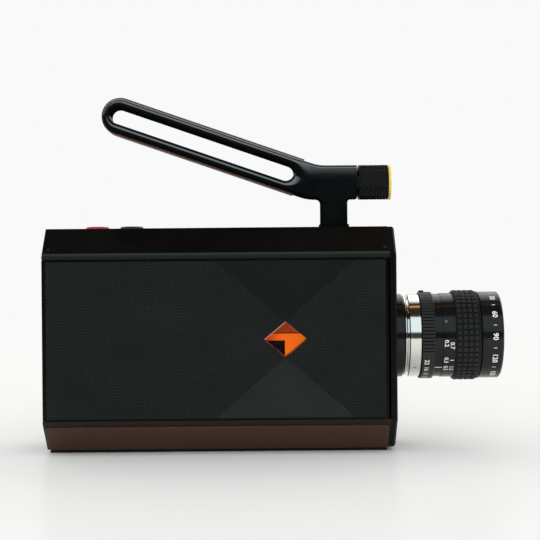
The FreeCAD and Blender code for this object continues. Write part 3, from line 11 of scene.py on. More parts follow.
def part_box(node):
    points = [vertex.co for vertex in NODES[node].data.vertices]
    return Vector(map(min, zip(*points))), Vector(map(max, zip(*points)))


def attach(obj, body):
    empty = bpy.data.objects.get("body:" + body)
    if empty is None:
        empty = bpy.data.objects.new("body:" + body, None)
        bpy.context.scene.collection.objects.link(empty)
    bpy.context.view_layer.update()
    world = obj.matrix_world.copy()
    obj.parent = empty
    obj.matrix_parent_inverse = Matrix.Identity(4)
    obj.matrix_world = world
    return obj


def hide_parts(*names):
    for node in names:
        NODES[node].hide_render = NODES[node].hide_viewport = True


bl_info = {
    "name": "Movie camera",
    "version": (1, 0, 0),
    "blender": (4, 5, 0),
    "location": "View3D > Sidebar > Movie camera",
    "description": "Detail, finishes and stage of a cartridge movie camera",
    "category": "Object",
}

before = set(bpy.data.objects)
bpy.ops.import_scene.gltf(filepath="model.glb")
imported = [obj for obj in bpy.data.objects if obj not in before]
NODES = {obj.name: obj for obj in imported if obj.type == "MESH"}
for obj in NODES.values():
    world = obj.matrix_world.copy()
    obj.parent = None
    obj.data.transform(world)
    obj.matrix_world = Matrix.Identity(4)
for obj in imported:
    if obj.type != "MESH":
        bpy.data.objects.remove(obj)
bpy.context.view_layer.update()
MM = 0.001

# a Mix node for colours: its kind, the sockets of its two colours, and its result
RGBA = {"data_type": "RGBA"}
FROM, TO, MIXED = 6, 7, 2
SOFT = {"interpolation_type": "SMOOTHSTEP"}
# blasted, then anodised: shared by the plates and, under their walls painted paler, the covers
BLASTED = {
    "colours": ("#060706", "#0a0b0a"), "roughness": (0.26, 0.32), "grain_mm": 0.5, "bump_mm": 0.005,
    "Specular_IOR_Level": 0.12,
}

LENS_LOW, LENS_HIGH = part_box("focus_ring")
LENS_Z = (LENS_LOW.z + LENS_HIGH.z) / 2

# engraved marks stand this far off their ring, so that they aren't hidden in it
PAINT_HIGH = 0.02 * MM

# the handle's loop slopes down to the front: the ways along it and up from it, its radius, and the leather
LOOP_SLOPE = math.radians(19.3)
LOOP_AHEAD = (math.cos(LOOP_SLOPE), 0, -math.sin(LOOP_SLOPE))
LOOP_OVER = (math.sin(LOOP_SLOPE), 0, math.cos(LOOP_SLOPE))
LOOP_RADIUS = 8.1 * MM
WRAP_THICK = 0.7 * MM
WRAP_LONG = 87.85 * MM
# the slot starts at its rear centre, and the rim's centre lies a little ahead of that
SLOT_START = (-67.3 * MM, 0, 155.6 * MM)
SLOT_LONG = 82.58 * MM
SLOT_RADIUS = 3.8 * MM
RIM_AHEAD = 1.1 * MM
# the crowns that the light shows: four times its height on the arms, its height and half width on the neck
ARM_CROWN = 3.0 * MM
NECK_CROWN = 0.28 * MM
NECK_HALF = 8.2 * MM

# where the stage's camera stands in front of the tripod axis and above the base, and how it is rolled
CAMERA_AHEAD, CAMERA_HIGH = 0.003, 0.083
CAMERA_ROLL = math.radians(0.5)
SENSOR_WIDE = 36.0
# figures are this share of the letters' size tall, and are drawn bolder by this share of their height
FIGURE_SHARE, FIGURE_BOLD = 0.7, 0.035


def linear(code):
    """Linear colour of an sRGB hex code."""
    parts = [int(code[n:n + 2], 16) / 255 for n in (1, 3, 5)]
    return tuple(p / 12.92 if p <= 0.04045 else ((p + 0.055) / 1.055) ** 2.4 for p in parts)


def opaque(code):
    """The same colour as sockets take it, with full opacity."""
    return (*linear(code), 1.0)


def feed(node, values):
    """Set a node's properties and sockets. A socket takes a plain value, a socket or a node's first output."""
    for key, value in values.items():
        if isinstance(value, bpy.types.Node):
            value = value.outputs[0]
        if isinstance(value, bpy.types.NodeSocket):
            node.id_data.links.new(value, node.inputs[key])
        elif isinstance(key, str) and hasattr(node, key):
            setattr(node, key, value)
        else:
            node.inputs[key].default_value = value


def add_node(owner, kind, values):
    """Add a node to a material or world, with its settings and links."""
    node = owner.node_tree.nodes.new("ShaderNode" + kind)
    feed(node, values)
    return node


def new_material(name, colour, roughness, **sockets):
    """A material with its constant values on the shader, and the place of each point in the object."""
    material = bpy.data.materials.new(name)
    material.use_nodes = True
    shader = material.node_tree.nodes["Principled BSDF"]
    feed(shader, {"Base Color": opaque(colour), "Roughness": roughness})
    feed(shader, {key.replace("_", " "): value for key, value in sockets.items()})
    place = add_node(material, "TexCoord", {}).outputs["Object"]
    return material, shader, place


def grained(name, colours, roughness, grain_mm, bump_mm, stretch=(1, 1, 1), **sockets):
    """A finish whose colour, gloss and height drift together with a grain of a real size."""
    material, shader, place = new_material(name, colours[0], roughness[0], **sockets)
    add = partial(add_node, material)
    stretched = add("Mapping", {"Scale": stretch, "Vector": place})
    fine = add("TexNoise", {"Scale": 1 / (grain_mm * MM), "Detail": 3.0, "Roughness": 0.6, "Vector": stretched})
    # patches about the width of a thumb, as handling and uneven finishing leave
    broad = add("TexNoise", {"Scale": 1 / (18 * MM), "Detail": 2.0, "Vector": place})
    both = add("Math", {"operation": "ADD", 0: fine, 1: broad})
    tint = add("MapRange", {"From Min": 0.75, "From Max": 1.25, "Value": both})
    colour = add("Mix", {**RGBA, FROM: opaque(colours[0]), TO: opaque(colours[1]), 0: tint})
    gloss = add("MapRange", {
        "From Min": 0.75, "From Max": 1.25, "To Min": roughness[0], "To Max": roughness[1], "Value": both,
    })
    bump = add("Bump", {"Strength": 1.0, "Distance": bump_mm * MM, "Height": fine})
    feed(shader, {"Base Color": colour.outputs[MIXED], "Roughness": gloss, "Normal": bump})
    return material


def rubbed(name, colours, roughness, axis_z, depths, grain_mm, **sockets):
    """A cut or moulded grip, by distance from its axis: its grooves darkened by painted shade, and its tips
    worn paler.
    """
    material = grained(name, (colours[0], colours[0]), roughness, grain_mm, 0.006, **sockets)
    add = partial(add_node, material)
    place = add("TexCoord", {}).outputs["Object"]
    across = add("VectorMath", {"operation": "MULTIPLY_ADD", 1: (0, 1, 1), 2: (0, 0, -axis_z), 0: place})
    distance = add("VectorMath", {"operation": "LENGTH", 0: across})
    tips = add("MapRange", {
        "From Min": depths[0], "From Max": depths[1], **SOFT, "Value": distance.outputs["Value"],
    })
    # painted shade: dark at the groove bottoms, paler towards the worn tips
    colour = add("Mix", {**RGBA, FROM: opaque(colours[0]), TO: opaque(colours[1]), 0: tips})
    feed(material.node_tree.nodes["Principled BSDF"], {"Base Color": colour.outputs[MIXED]})
    return material


def polished_above(material, share, roughness):
    """Lay a mirror-like share over the places of a finish that turn upwards."""
    add = partial(add_node, material)
    nodes = material.node_tree.nodes
    shader = nodes["Principled BSDF"]
    way = add("SeparateXYZ", {"Vector": nodes["Bump"]})
    upwards = add("MapRange", {"From Min": 0.0, "From Max": 0.12, "To Max": share, "Value": way.outputs["Z"]})
    mirror = add("BsdfAnisotropic", {
        "Color": opaque("#ffffff"), "Roughness": roughness, "Normal": nodes["Bump"],
    })
    mixed = add("MixShader", {0: upwards, 1: shader, 2: mirror})
    feed(nodes["Material Output"], {"Surface": mixed})
    return material


def crowned(material, neck):
    """Make the handle's flat sides catch the light as a casting's slightly rounded sides do.

    The crown of the loop's arms follows the way from the slot to the rim. The neck has a height, and is
    crowned over half its own width.
    """
    add = partial(add_node, material)
    place = add("TexCoord", {}).outputs["Object"]
    offset = add("VectorMath", {"operation": "SUBTRACT", 0: place, 1: SLOT_START})
    axes = add("SeparateXYZ", {"Vector": place})
    known = {"x": axes.outputs["X"], "z": axes.outputs["Z"]}
    for name, way in (("along", LOOP_AHEAD), ("across", LOOP_OVER)):
        known[name] = add("VectorMath", {"operation": "DOT_PRODUCT", 0: offset, 1: way}).outputs["Value"]
    known["at neck"] = add("MapRange", {"Value": known["x"], "From Min": 13 * MM, "From Max": 24 * MM, **SOFT})
    # each step: its name, the sum, and the two terms it takes, which are numbers or earlier steps
    steps = (
        ("past start", "MAXIMUM", "along", 0.0), ("on slot", "MINIMUM", "past start", SLOT_LONG),
        ("past slot", "SUBTRACT", "along", "on slot"), ("to rim", "SUBTRACT", "along", RIM_AHEAD),
        ("behind rim", "MINIMUM", "to rim", 0.0), ("across squared", "MULTIPLY", "across", "across"),
        ("slot squared", "MULTIPLY", "past slot", "past slot"),
        ("slot sum", "ADD", "slot squared", "across squared"), ("inside", "SQRT", "slot sum", 0.0),
        ("rim squared", "MULTIPLY", "behind rim", "behind rim"),
        ("rim sum", "ADD", "rim squared", "across squared"), ("outside", "SQRT", "rim sum", 0.0),
        ("clear of slot", "SUBTRACT", "inside", SLOT_RADIUS), ("from slot", "MAXIMUM", "clear of slot", 0.0),
        ("clear of rim", "SUBTRACT", LOOP_RADIUS, "outside"), ("from rim", "MAXIMUM", "clear of rim", 0.0),
        ("whole", "ADD", "from slot", "from rim"), ("whole squared", "MULTIPLY", "whole", "whole"),
        ("product", "MULTIPLY", "from slot", "from rim"), ("share", "DIVIDE", "product", "whole squared"),
        ("bar", "MULTIPLY", "share", ARM_CROWN), ("over neck", "SUBTRACT", "z", neck),
        ("rise", "DIVIDE", "over neck", NECK_HALF), ("rise squared", "MULTIPLY", "rise", "rise"),
        ("fall", "SUBTRACT", 1.0, "rise squared"), ("round", "MAXIMUM", "fall", 0.0),
        ("plate", "MULTIPLY", "round", NECK_CROWN), ("neck part", "MULTIPLY", "plate", "at neck"),
        ("off neck", "SUBTRACT", 1.0, "at neck"), ("arm part", "MULTIPLY", "bar", "off neck"),
        ("height", "ADD", "neck part", "arm part"),
    )
    for name, operation, first, second in steps:
        known[name] = add("Math", {
            "operation": operation, 0: known.get(first, first), 1: known.get(second, second),
        })
    crown = add("Bump", {"Strength": 1.0, "Distance": 1.0, "Height": known["height"]})
    feed(material.node_tree.nodes["Bump"], {"Normal": crown})


def grained_leather(name, colours, grain_mm, roughness):
    """Full-grain leather: closed pebbles with fine creases between them, dyed unevenly, the creases darkened by
    painted shade.
    """
    material, shader, place = new_material(name, colours[0], roughness, Specular_IOR_Level=0.25)
    add = partial(add_node, material)
    warp = add("TexNoise", {"Scale": 1 / (2 * grain_mm * MM), "Detail": 2.0, "Vector": place})
    bent = add("VectorMath", {
        "operation": "MULTIPLY_ADD", 1: (0.5 * grain_mm * MM,) * 3, 0: warp.outputs["Color"], 2: place,
    })
    pebble = add("TexVoronoi", {"feature": "DISTANCE_TO_EDGE", "Scale": 1 / (grain_mm * MM), "Vector": bent})
    crease = add("MapRange", {"From Max": 0.16, **SOFT, "Value": pebble.outputs["Distance"]})
    cloudy = add("TexNoise", {"Scale": 1 / (9 * MM), "Detail": 4.0, "Vector": place})
    dyed = add("Mix", {**RGBA, FROM: opaque(colours[0]), TO: opaque(colours[1]), 0: cloudy})
    # painted shade in the creases
    shaded = add("Mix", {**RGBA, FROM: opaque(colours[2]), 0: crease, TO: dyed.outputs[MIXED]})
    gloss = add("MapRange", {"To Min": roughness + 0.12, "To Max": roughness - 0.05, "Value": crease})
    bump = add("Bump", {"Strength": 0.7, "Distance": 0.035 * MM, "Height": crease})
    feed(shader, {"Base Color": shaded.outputs[MIXED], "Roughness": gloss, "Normal": bump})
    return material


def embossed_inlay(name, colours, ways, pitch_mm, roughness):
    """Embossed sheet: fine ridges run along one way, or two ways that cross into small diamonds; the ridges are
    painted paler than the hollows, a painted light and shade.
    """
    material, shader, place = new_material(name, colours[0], roughness, Specular_IOR_Level=0.15)
    add = partial(add_node, material)
    ridges = None
    for way in ways:
        turned_place = add("Mapping", {"Rotation": (0, math.radians(way), 0), "Vector": place})
        # one band of this texture is 2 pi / 20 units wide at scale 1
        wave = add("TexWave", {
            "wave_type": "BANDS", "bands_direction": "X", "Scale": math.pi / 10 / (pitch_mm * MM),
            "Vector": turned_place,
        })
        height = wave.outputs["Fac"]
        ridges = height if ridges is None else add("Math", {"operation": "MULTIPLY", 0: ridges, 1: height})
    high = add("MapRange", {"From Min": 0.1, "From Max": 0.6, **SOFT, "Value": ridges})
    uneven = add("TexNoise", {"Scale": 1 / (25 * MM), "Detail": 3.0, "Vector": place})
    share = add("MapRange", {"From Min": 0.3, "From Max": 0.7, "To Min": 0.7, "To Max": 1.0, "Value": uneven})
    amount = add("Math", {"operation": "MULTIPLY", 0: high, 1: share})
    # painted light and shade: the ridges are painted paler and the hollows darker
    colour = add("Mix", {**RGBA, FROM: opaque(colours[0]), TO: opaque(colours[1]), 0: amount})
    bump = add("Bump", {"Strength": 0.6, "Distance": 0.1 * MM, "Height": high})
    feed(shader, {"Base Color": colour.outputs[MIXED], "Normal": bump})
    return material


def printed_label(name, casing):
    """Coated paper, orange with painted shade turning it red towards its rear, a dark red band above a rule, a
    black square, and a painted glow.
    """
    material, shader, place = new_material(name, casing.label, 0.4, Specular_IOR_Level=0.2)
    add = partial(add_node, material)
    low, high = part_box("window_pane")
    middle = (low + high) / 2
    axes = add("SeparateXYZ", {"Vector": place})
    # painted shade: the label turns red towards its rear, where the window's edge shades it
    fade = add("MapRange", {
        "From Min": middle.x - 9.5 * MM, "From Max": middle.x - 1 * MM, **SOFT, "Value": axes.outputs["X"],
    })
    fibres = add("TexNoise", {"Scale": 1 / (0.4 * MM), "Detail": 3.0, "Vector": place})
    colour = add("Mix", {**RGBA, FROM: opaque(casing.label_rear), TO: opaque(casing.label), 0: fade})
    # each mark: its colour, its share, where it starts and ends in height, and where it ends along the label
    marks = (
        (casing.label_dark, 0.8, middle.z + 2.4 * MM, middle.z + 20 * MM, middle.x + 20 * MM),
        ("#4a0d04", 1.0, middle.z + 2.0 * MM, middle.z + 2.45 * MM, middle.x + 20 * MM),
        ("#120804", 1.0, middle.z - 20 * MM, middle.z - 1.1 * MM, middle.x - 0.1 * MM),
    )
    for code, share, start, end, x_end in marks:
        amount = None
        limits = (("GREATER_THAN", start, "Z"), ("LESS_THAN", end, "Z"), ("LESS_THAN", x_end, "X"))
        for operation, limit, axis in limits:
            within = add("Math", {"operation": operation, 1: limit, 0: axes.outputs[axis]})
            amount = within if amount is None else add("Math", {"operation": "MULTIPLY", 0: amount, 1: within})
        amount = add("Math", {"operation": "MULTIPLY", 1: share, 0: amount})
        colour = add("Mix", {**RGBA, TO: opaque(code), 0: amount, FROM: colour.outputs[MIXED]})
    bump = add("Bump", {"Strength": 0.2, "Distance": 0.02 * MM, "Height": fibres})
    feed(shader, {"Base Color": colour.outputs[MIXED], "Normal": bump})
    # painted glow: the label gives out its own colour, as if lit more brightly than the lamps light it
    feed(shader, {"Emission Color": colour.outputs[MIXED], "Emission Strength": 0.6})
    return material


def clear_acrylic(name, milky=0.0):
    """Acrylic sheet: light passes straight through, with smeared reflections and, where milky is given, a pale
    haze.
    """
    material, shader, place = new_material(name, "#ffc4ae", 0.25, Specular_IOR_Level=0.5)
    add = partial(add_node, material)
    haze = add("TexNoise", {"Scale": 1 / (4 * MM), "Detail": 2.0, "Vector": place})
    body = add("BsdfTransparent", {"Color": opaque("#ffffff")})
    if milky:
        cloud = add("MapRange", {"To Min": milky * 0.7, "To Max": milky * 1.3, "Value": haze})
        body = add("MixShader", {0: cloud, 1: body, 2: shader})
    smear = add("MapRange", {"To Min": 0.02, "To Max": 0.06, "Value": haze})
    mirror = add("BsdfAnisotropic", {"Color": opaque("#ffffff"), "Roughness": smear})
    # nothing face on, and more towards the side; the same from inside the sheet as from outside
    edge_on = add("LayerWeight", {"Blend": 0.5})
    steep = add("Math", {"operation": "POWER", 1: 4.0, 0: edge_on.outputs["Facing"]})
    share = add("MapRange", {"To Min": 0.0, "To Max": 0.5, "Value": steep})
    mixed = add("MixShader", {0: share, 1: body, 2: mirror})
    feed(material.node_tree.nodes["Material Output"], {"Surface": mixed})
    return material


def etched_board(name):
    """Glass-fibre board under green solder mask, with the copper tracks standing out faintly."""
    material, shader, place = new_material(name, "#0b4a2a", 0.4, Specular_IOR_Level=0.4)
    add = partial(add_node, material)
    turned_place = add("Mapping", {"Rotation": (math.radians(90), 0, 0), "Vector": place})
    tracks = add("TexBrick", {
        "Vector": turned_place, "Scale": 1 / (6 * MM), "Mortar Size": 0.04, "Brick Width": 0.9,
        "Row Height": 0.22, "offset": 0.35,
    })
    dust = add("TexNoise", {"Scale": 1 / (1.5 * MM), "Detail": 4.0, "Vector": place})
    mask = add("Mix", {**RGBA, FROM: opaque("#0b4a2a"), TO: opaque("#1c6b3f"), 0: tracks.outputs["Fac"]})
    dusty = add("Mix", {**RGBA, TO: opaque("#123d27"), 0: dust, FROM: mask.outputs[MIXED]})
    bump = add("Bump", {"Strength": 0.4, "Distance": 0.04 * MM, "Height": tracks.outputs["Fac"]})
    feed(shader, {"Base Color": dusty.outputs[MIXED], "Normal": bump})
    return material


def engraving_paint(name, colour):
    """Enamel wiped into engraved figures: flat, with a slightly uneven face."""
    return grained(name, (colour, colour), (0.45, 0.6), 0.2, 0.01)


def dress(material, *nodes):
    """Give modelled parts a material through their objects' slots."""
    for node in nodes:
        for slot in NODES[node].material_slots:
            slot.link = "OBJECT"
            slot.material = material


def new_piece(name, points, faces, material, body, sharp=35, replaces=()):
    """A piece from points in metres that rides on a body."""
    mesh = bpy.data.meshes.new(name)
    mesh.from_pydata([tuple(p) for p in points], [], [tuple(f) for f in faces])
    mesh.validate()
    mesh.polygons.foreach_set("use_smooth", [True] * len(mesh.polygons))
    mesh.set_sharp_from_angle(angle=math.radians(sharp))
    mesh.materials.append(material)
    piece = bpy.data.objects.new(name, mesh)
    bpy.context.scene.collection.objects.link(piece)
    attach(piece, body)
    if replaces:
        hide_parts(*replaces)
    return piece


def turned(rows, count, axis_z, relief=None, closed=True, angles=None):
    """Points and faces of a shape turned about +X. A row is a place, a radius and its share of the relief.

    Angles run from straight up towards the right-hand side, and relief gives a height in metres.
    """
    places = np.array([row[0] for row in rows])
    radii = np.array([row[1] for row in rows])
    shares = np.array([(*row, 0)[2] for row in rows])
    if angles is None:
        angles = np.arange(count) * (2 * math.pi / count)
    size = np.repeat(radii[:, None], count, axis=1)
    if relief is not None:
        size = size + shares[:, None] * relief(places[:, None], angles[None, :])
    points = np.stack([
        np.repeat(places[:, None], count, axis=1),
        -size * np.sin(angles)[None, :],
        size * np.cos(angles)[None, :] + axis_z,
    ], axis=-1).reshape(-1, 3)
    faces = []
    last = len(rows) if closed else len(rows) - 1
    for row in range(last):
        low, high = row * count, (row + 1) % len(rows) * count
        for n in range(count):
            m = (n + 1) % count
            faces.append((low + n, high + n, high + m, low + m))
    if not closed:
        faces.append(tuple(range(count)))
        faces.append(tuple(reversed(range((len(rows) - 1) * count, len(rows) * count))))
    return points, faces


def skin(rows, count, flipped):
    """Faces between loops of points, and over the first and the last loop."""
    faces = [tuple(range(count)), tuple(reversed(range((rows - 1) * count, rows * count)))]
    for low in range(0, (rows - 1) * count, count):
        high = low + count
        for n in range(count):
            m = (n + 1) % count
            faces.append((high + n, high + m, low + m, low + n))
    return [face[::-1] for face in faces] if flipped else faces


def smooth(value):
    """Soft step from 0 to 1."""
    value = np.clip(value, 0.0, 1.0)
    return value * value * (3 - 2 * value)


def flat_text(text, tall):
    """Points and faces of a number in the XY plane, centred, with its figures as tall as given."""
    curve = bpy.data.curves.new("figures", "FONT")
    curve.body = text
    curve.size = tall / FIGURE_SHARE
    curve.align_x = "CENTER"
    curve.align_y = "CENTER"
    curve.resolution_u = 3
    curve.offset = FIGURE_BOLD * tall
    carrier = bpy.data.objects.new("figures", curve)
    mesh = bpy.data.meshes.new_from_object(carrier)
    points = np.array([vertex.co[:] for vertex in mesh.vertices]).reshape(-1, 3)
    faces = [tuple(polygon.vertices) for polygon in mesh.polygons]
    bpy.data.objects.remove(carrier)
    bpy.data.meshes.remove(mesh)
    bpy.data.curves.remove(curve)
    return points, faces


def flat_bar(wide, tall):
    """Points and faces of a bar in the XY plane, centred."""
    half, rise = wide / 2, tall / 2
    return np.array([(-half, -rise, 0), (half, -rise, 0), (half, rise, 0), (-half, rise, 0)]), [(0, 1, 2, 3)]


def flat_dot(radius):
    """Points and faces of a round dot in the XY plane, centred."""
    angles = np.arange(16) * (math.pi / 8)
    return np.stack([radius * np.cos(angles), radius * np.sin(angles), 0 * angles], axis=-1), [tuple(range(16))]


def engrave(name, marks, radius, paint, body):
    """Lay flat marks on the lens. Each is (points and faces, place along X, degrees above level).

    The figures stand with their heads to the front and read downwards on the right-hand side.
    """
    all_points, all_faces = [], []
    for (points, faces), x, degrees in marks:
        start = sum(len(p) for p in all_points)
        rise = math.radians(degrees) - points[:, 0] / radius
        size = radius + points[:, 2]
        all_points.append(np.stack([
            x + points[:, 1], -size * np.cos(rise), LENS_Z + size * np.sin(rise)
        ], axis=-1))
        all_faces += [tuple(start + n for n in face) for face in faces]
    new_piece(name, np.concatenate(all_points), all_faces, paint, body)


class CasingFinish(bpy.types.PropertyGroup):
    leather_long: bpy.props.FloatProperty(
        name="Leather grain", description="Width of a pebble of the leather", default=0.9, min=0.2, max=3,
        unit="NONE",
    )
    label: bpy.props.StringProperty(name="Label", description="Hex colour of the label", default="#ff6e08")
    # the label's colour at its rear is painted shade
    label_rear: bpy.props.StringProperty(
        name="Label, rear", description="Hex colour of the label at its rear", default="#c83204"
    )
    label_dark: bpy.props.StringProperty(
        name="Label, dark part", description="Hex colour of the label's upper part", default="#6a1204"
    )
    leather_edge: bpy.props.FloatProperty(
        name="Leather edge", description="Rounding of the leather strips", default=0.5 * MM, min=0.1 * MM,
        max=0.8 * MM, unit="LENGTH",
    )


class HandleFinish(bpy.types.PropertyGroup):
    knurls_round: bpy.props.IntProperty(
        name="Knurls round", description="Diamonds round the knob", default=31, min=12, max=80
    )
    knurls_along: bpy.props.IntProperty(
        name="Knurls along", description="Diamonds along the knob", default=5, min=3, max=30
    )
    knurl_deep: bpy.props.FloatProperty(
        name="Knurl depth", description="Depth of the grooves between the diamonds", default=0.4 * MM,
        min=0.05 * MM, max=1 * MM, unit="LENGTH",
    )


class LensFinish(bpy.types.PropertyGroup):
    ribs: bpy.props.IntProperty(
        name="Iris ring ribs", description="Ribs that would fill the whole iris ring", default=79, min=40,
        max=180,
    )
    rib_deep: bpy.props.FloatProperty(
        name="Rib depth", description="Grooves between the ribs", default=0.5 * MM, min=0.05 * MM, max=1 * MM,
        unit="LENGTH",
    )
    pads_round: bpy.props.IntProperty(
        name="Pads round", description="Rows of pads round the focus grip", default=49, min=20, max=80
    )
    pads_along: bpy.props.IntProperty(
        name="Pads along", description="Columns of pads on the focus grip", default=4, min=2, max=8
    )
    figure_tall: bpy.props.FloatProperty(
        name="Figures", description="Height of the engraved figures", default=2.05 * MM, min=0.5 * MM,
        max=4 * MM, unit="LENGTH",
    )


class StageSettings(bpy.types.PropertyGroup):
    distance: bpy.props.FloatProperty(
        name="Camera distance", description="Camera to the lens axis", default=0.6303, min=0.2, max=5,
        unit="LENGTH",
    )
    focal: bpy.props.FloatProperty(
        name="Focal length", description="Lens of the camera", default=89.27, min=20, max=300, unit="CAMERA"
    )
    window_light: bpy.props.FloatProperty(
        name="Window light", description="Power of the large light in front", default=16.0, min=0, max=200,
        unit="POWER",
    )
    rear_light: bpy.props.FloatProperty(
        name="Rear light", description="Power of the large light above and behind", default=9.0, min=0, max=200,
        unit="POWER",
    )
    overhead_strip: bpy.props.FloatProperty(
        name="Overhead strip", description="Power of the small warm lamp overhead", default=0.4, min=0, max=20,
        unit="POWER",
    )
    around: bpy.props.FloatProperty(
        name="Room light", description="Even light from all round", default=0.82, min=0, max=2
    )


class CASING_OT_dress(bpy.types.Operator):
    """Finish the covers, plates, door and screws"""

    bl_idname = "movie_camera.casing"
    bl_label = "Casing"

    def execute(self, context):
        # Bead blasted, then anodised black: a dull, even sheen with a grain too fine to count. The grain
        # is drawn at 0.5 mm, where the real one is about 0.1 mm.
        dress(grained("bead_blasted_anodised_aluminium", **BLASTED), "front_plate", "left_panel", "door_panel")
        # The upper cover's narrow wall is painted paler and the edge above it palest: a painted reflection of
        # the window light in the rounded edge. The lower cover's narrow wall is painted paler too.
        low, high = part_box("door_panel")
        upper = self.covered("painted_highlight_anodised_aluminium", high.z, high.z + 2.6 * MM, "#1b2120", "#2c3634")
        lower = self.covered("paler_lower_anodised_aluminium", low.z - 4.0 * MM, low.z, "#251f19", "#251f19")
        dress(upper, "top_cover")
        dress(lower, "bottom_cover")
        # The same aluminium, milled: the tool's passes leave lines along its length.
        milled = grained(
            "milled_anodised_aluminium", ("#0b0c0c", "#111312"), (0.28, 0.38), 0.35, 0.006, (1, 0.08, 1),
            Specular_IOR_Level=0.25,
        )
        dress(milled, "rear_plate", "display_tray")
        # Vulcanised rubber: matt, faintly grey where it has worn.
        rubber = grained(
            "vulcanised_rubber", ("#0e0e0e", "#171717"), (0.65, 0.85), 0.6, 0.02, Specular_IOR_Level=0.3
        )
        dress(rubber, "base_pad")
        # Turned steel: bright, with rings round each turned part.
        steel = grained("turned_steel", ("#9c9c9a", "#b8b8b5"), (0.22, 0.34), 0.3, 0.004, Metallic=1.0)
        dress(
            steel, "tripod_bush", "hinge_pins", "door_magnets", "takeup_motor", "shutter_motor", "data_socket",
            "clamp_pad",
        )
        # Steel blackened in a hot bath: dark, with a little oil sheen.
        dress(
            grained("blackened_steel", ("#141414", "#1f1f20"), (0.28, 0.4), 0.3, 0.004, Specular_IOR_Level=0.5),
            "iris_blade_upper", "iris_blade_lower", "shutter_disc",
        )
        # Phosphated steel: dull grey-black crystals that the light picks out on small heads.
        dress(
            grained("phosphated_steel", ("#33322c", "#403f39"), (0.4, 0.55), 0.25, 0.01, Metallic=0.8),
            "cover_screws", "iris_lock_screw",
        )
        return {"FINISHED"}

    def covered(self, name, start, end, wall, edge):
        """The blasted finish, painted paler on the wall from start to end, and palest on the edge at its end.
        """
        material = grained(name, **BLASTED)
        add = partial(add_node, material)
        shader = material.node_tree.nodes["Principled BSDF"]
        place = add("TexCoord", {}).outputs["Object"]
        height = add("SeparateXYZ", {"Vector": place}).outputs["Z"]
        colour = shader.inputs["Base Color"].links[0].from_socket
        for code, middle, half in ((wall, (start + end) / 2, (end - start) / 2), (edge, end, 0.45 * MM)):
            amount = add("Math", {"operation": "COMPARE", 1: middle, 2: half, 0: height})
            colour = add("Mix", {**RGBA, TO: opaque(code), 0: amount, FROM: colour}).outputs[MIXED]
        feed(shader, {"Base Color": colour})
        return material


class DOOR_OT_dress(bpy.types.Operator):
    """Finish the door's four fields and build its window"""

    bl_idname = "movie_camera.door"
    bl_label = "Door"

    def execute(self, context):
        casing = context.scene.movie_camera_casing
        # Embossed rubberised sheet: crossing ridges leave rows of dots, painted paler on the ridges as a
        # painted highlight. The ridges are drawn 0.95 mm apart, where the real ones are 0.81 mm apart.
        dress(
            embossed_inlay("embossed_diamond_sheet", ("#090a0a", "#313634"), (45, -45), 0.95, 0.55),
            "door_skin_rear", "door_skin_front",
        )
        # The same sheet embossed one way only, with darker colours: a painted shade.
        dress(
            embossed_inlay("embossed_falling_sheet_painted_darker", ("#0a0c0b", "#171b1a"), (45,), 0.95, 0.5),
            "door_skin_top",
        )
        # Embossed the other way, with paler colours: a painted light, as if its ridges faced the lamps.
        dress(
            embossed_inlay("embossed_rising_sheet_painted_paler", ("#121413", "#2d3230"), (-45,), 0.95, 0.5),
            "door_skin_bottom",
        )
        self.window()
        # Moulded polycarbonate: smooth, a little glossy, with faint flow marks.
        moulded = grained(
            "moulded_polycarbonate", ("#0d0d0d", "#151515"), (0.4, 0.52), 0.8, 0.006, Specular_IOR_Level=0.4
        )
        dress(moulded, "pressure_block", "cartridge_shell", "port_cover")
        # Open-cell foam: dull, with small pores.
        dress(
            grained("open_cell_foam", ("#1b1b1b", "#2b2b2b"), (0.9, 1.0), 0.4, 0.15, Specular_IOR_Level=0.1),
            "pressure_foam",
        )
        dress(printed_label("coated_paper_label", casing), "cartridge_label")
        # Acetate film: brown, glossy and slightly see-through at its edges.
        film = grained(
            "coated_acetate_film", ("#2a1710", "#3d2418"), (0.15, 0.25), 2.0, 0.004, Specular_IOR_Level=0.6
        )
        dress(film, "film_strip", "film_roll")
        return {"FINISHED"}

    def window(self):
        """The pane with polished bevels along its four edges."""
        low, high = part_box("window_pane")
        middle = (low + high) / 2
        half_long, half_tall = (high.x - low.x) / 2, (high.z - low.z) / 2
        loops = ((high.y, 0.0), (low.y + 0.55 * MM, 0.0), (low.y, 0.55 * MM))
        points = []
        for y, inset in loops:
            # moving a sloping side in by a distance shortens both half lengths in proportion
            share = 1 - inset * math.hypot(half_long, half_tall) / (half_long * half_tall)
            for x, z in ((-half_long, 0), (0, -half_tall), (half_long, 0), (0, half_tall)):
                points.append((middle.x + x * share, y, middle.z + z * share))
        pane = new_piece(
            "window_bevelled", points, skin(len(loops), 4, True), clear_acrylic("polished_acrylic"), "door",
            sharp=10, replaces=("window_pane",),
        )
        # The bevels are made milky: strongly on the upper rear one, a painted highlight that shows as a pale
        # line, and less on the others, where the label's painted glow shows through.
        pane.data.materials.append(clear_acrylic("painted_highlight_acrylic", 0.7))
        pane.data.materials.append(clear_acrylic("cut_acrylic", 0.12))
        for polygon in pane.data.polygons:
            way = polygon.normal
            slanting = max(abs(component) for component in way) < 0.95
            polygon.material_index = (1 if way.x < 0 < way.z else 2) if slanting else 0


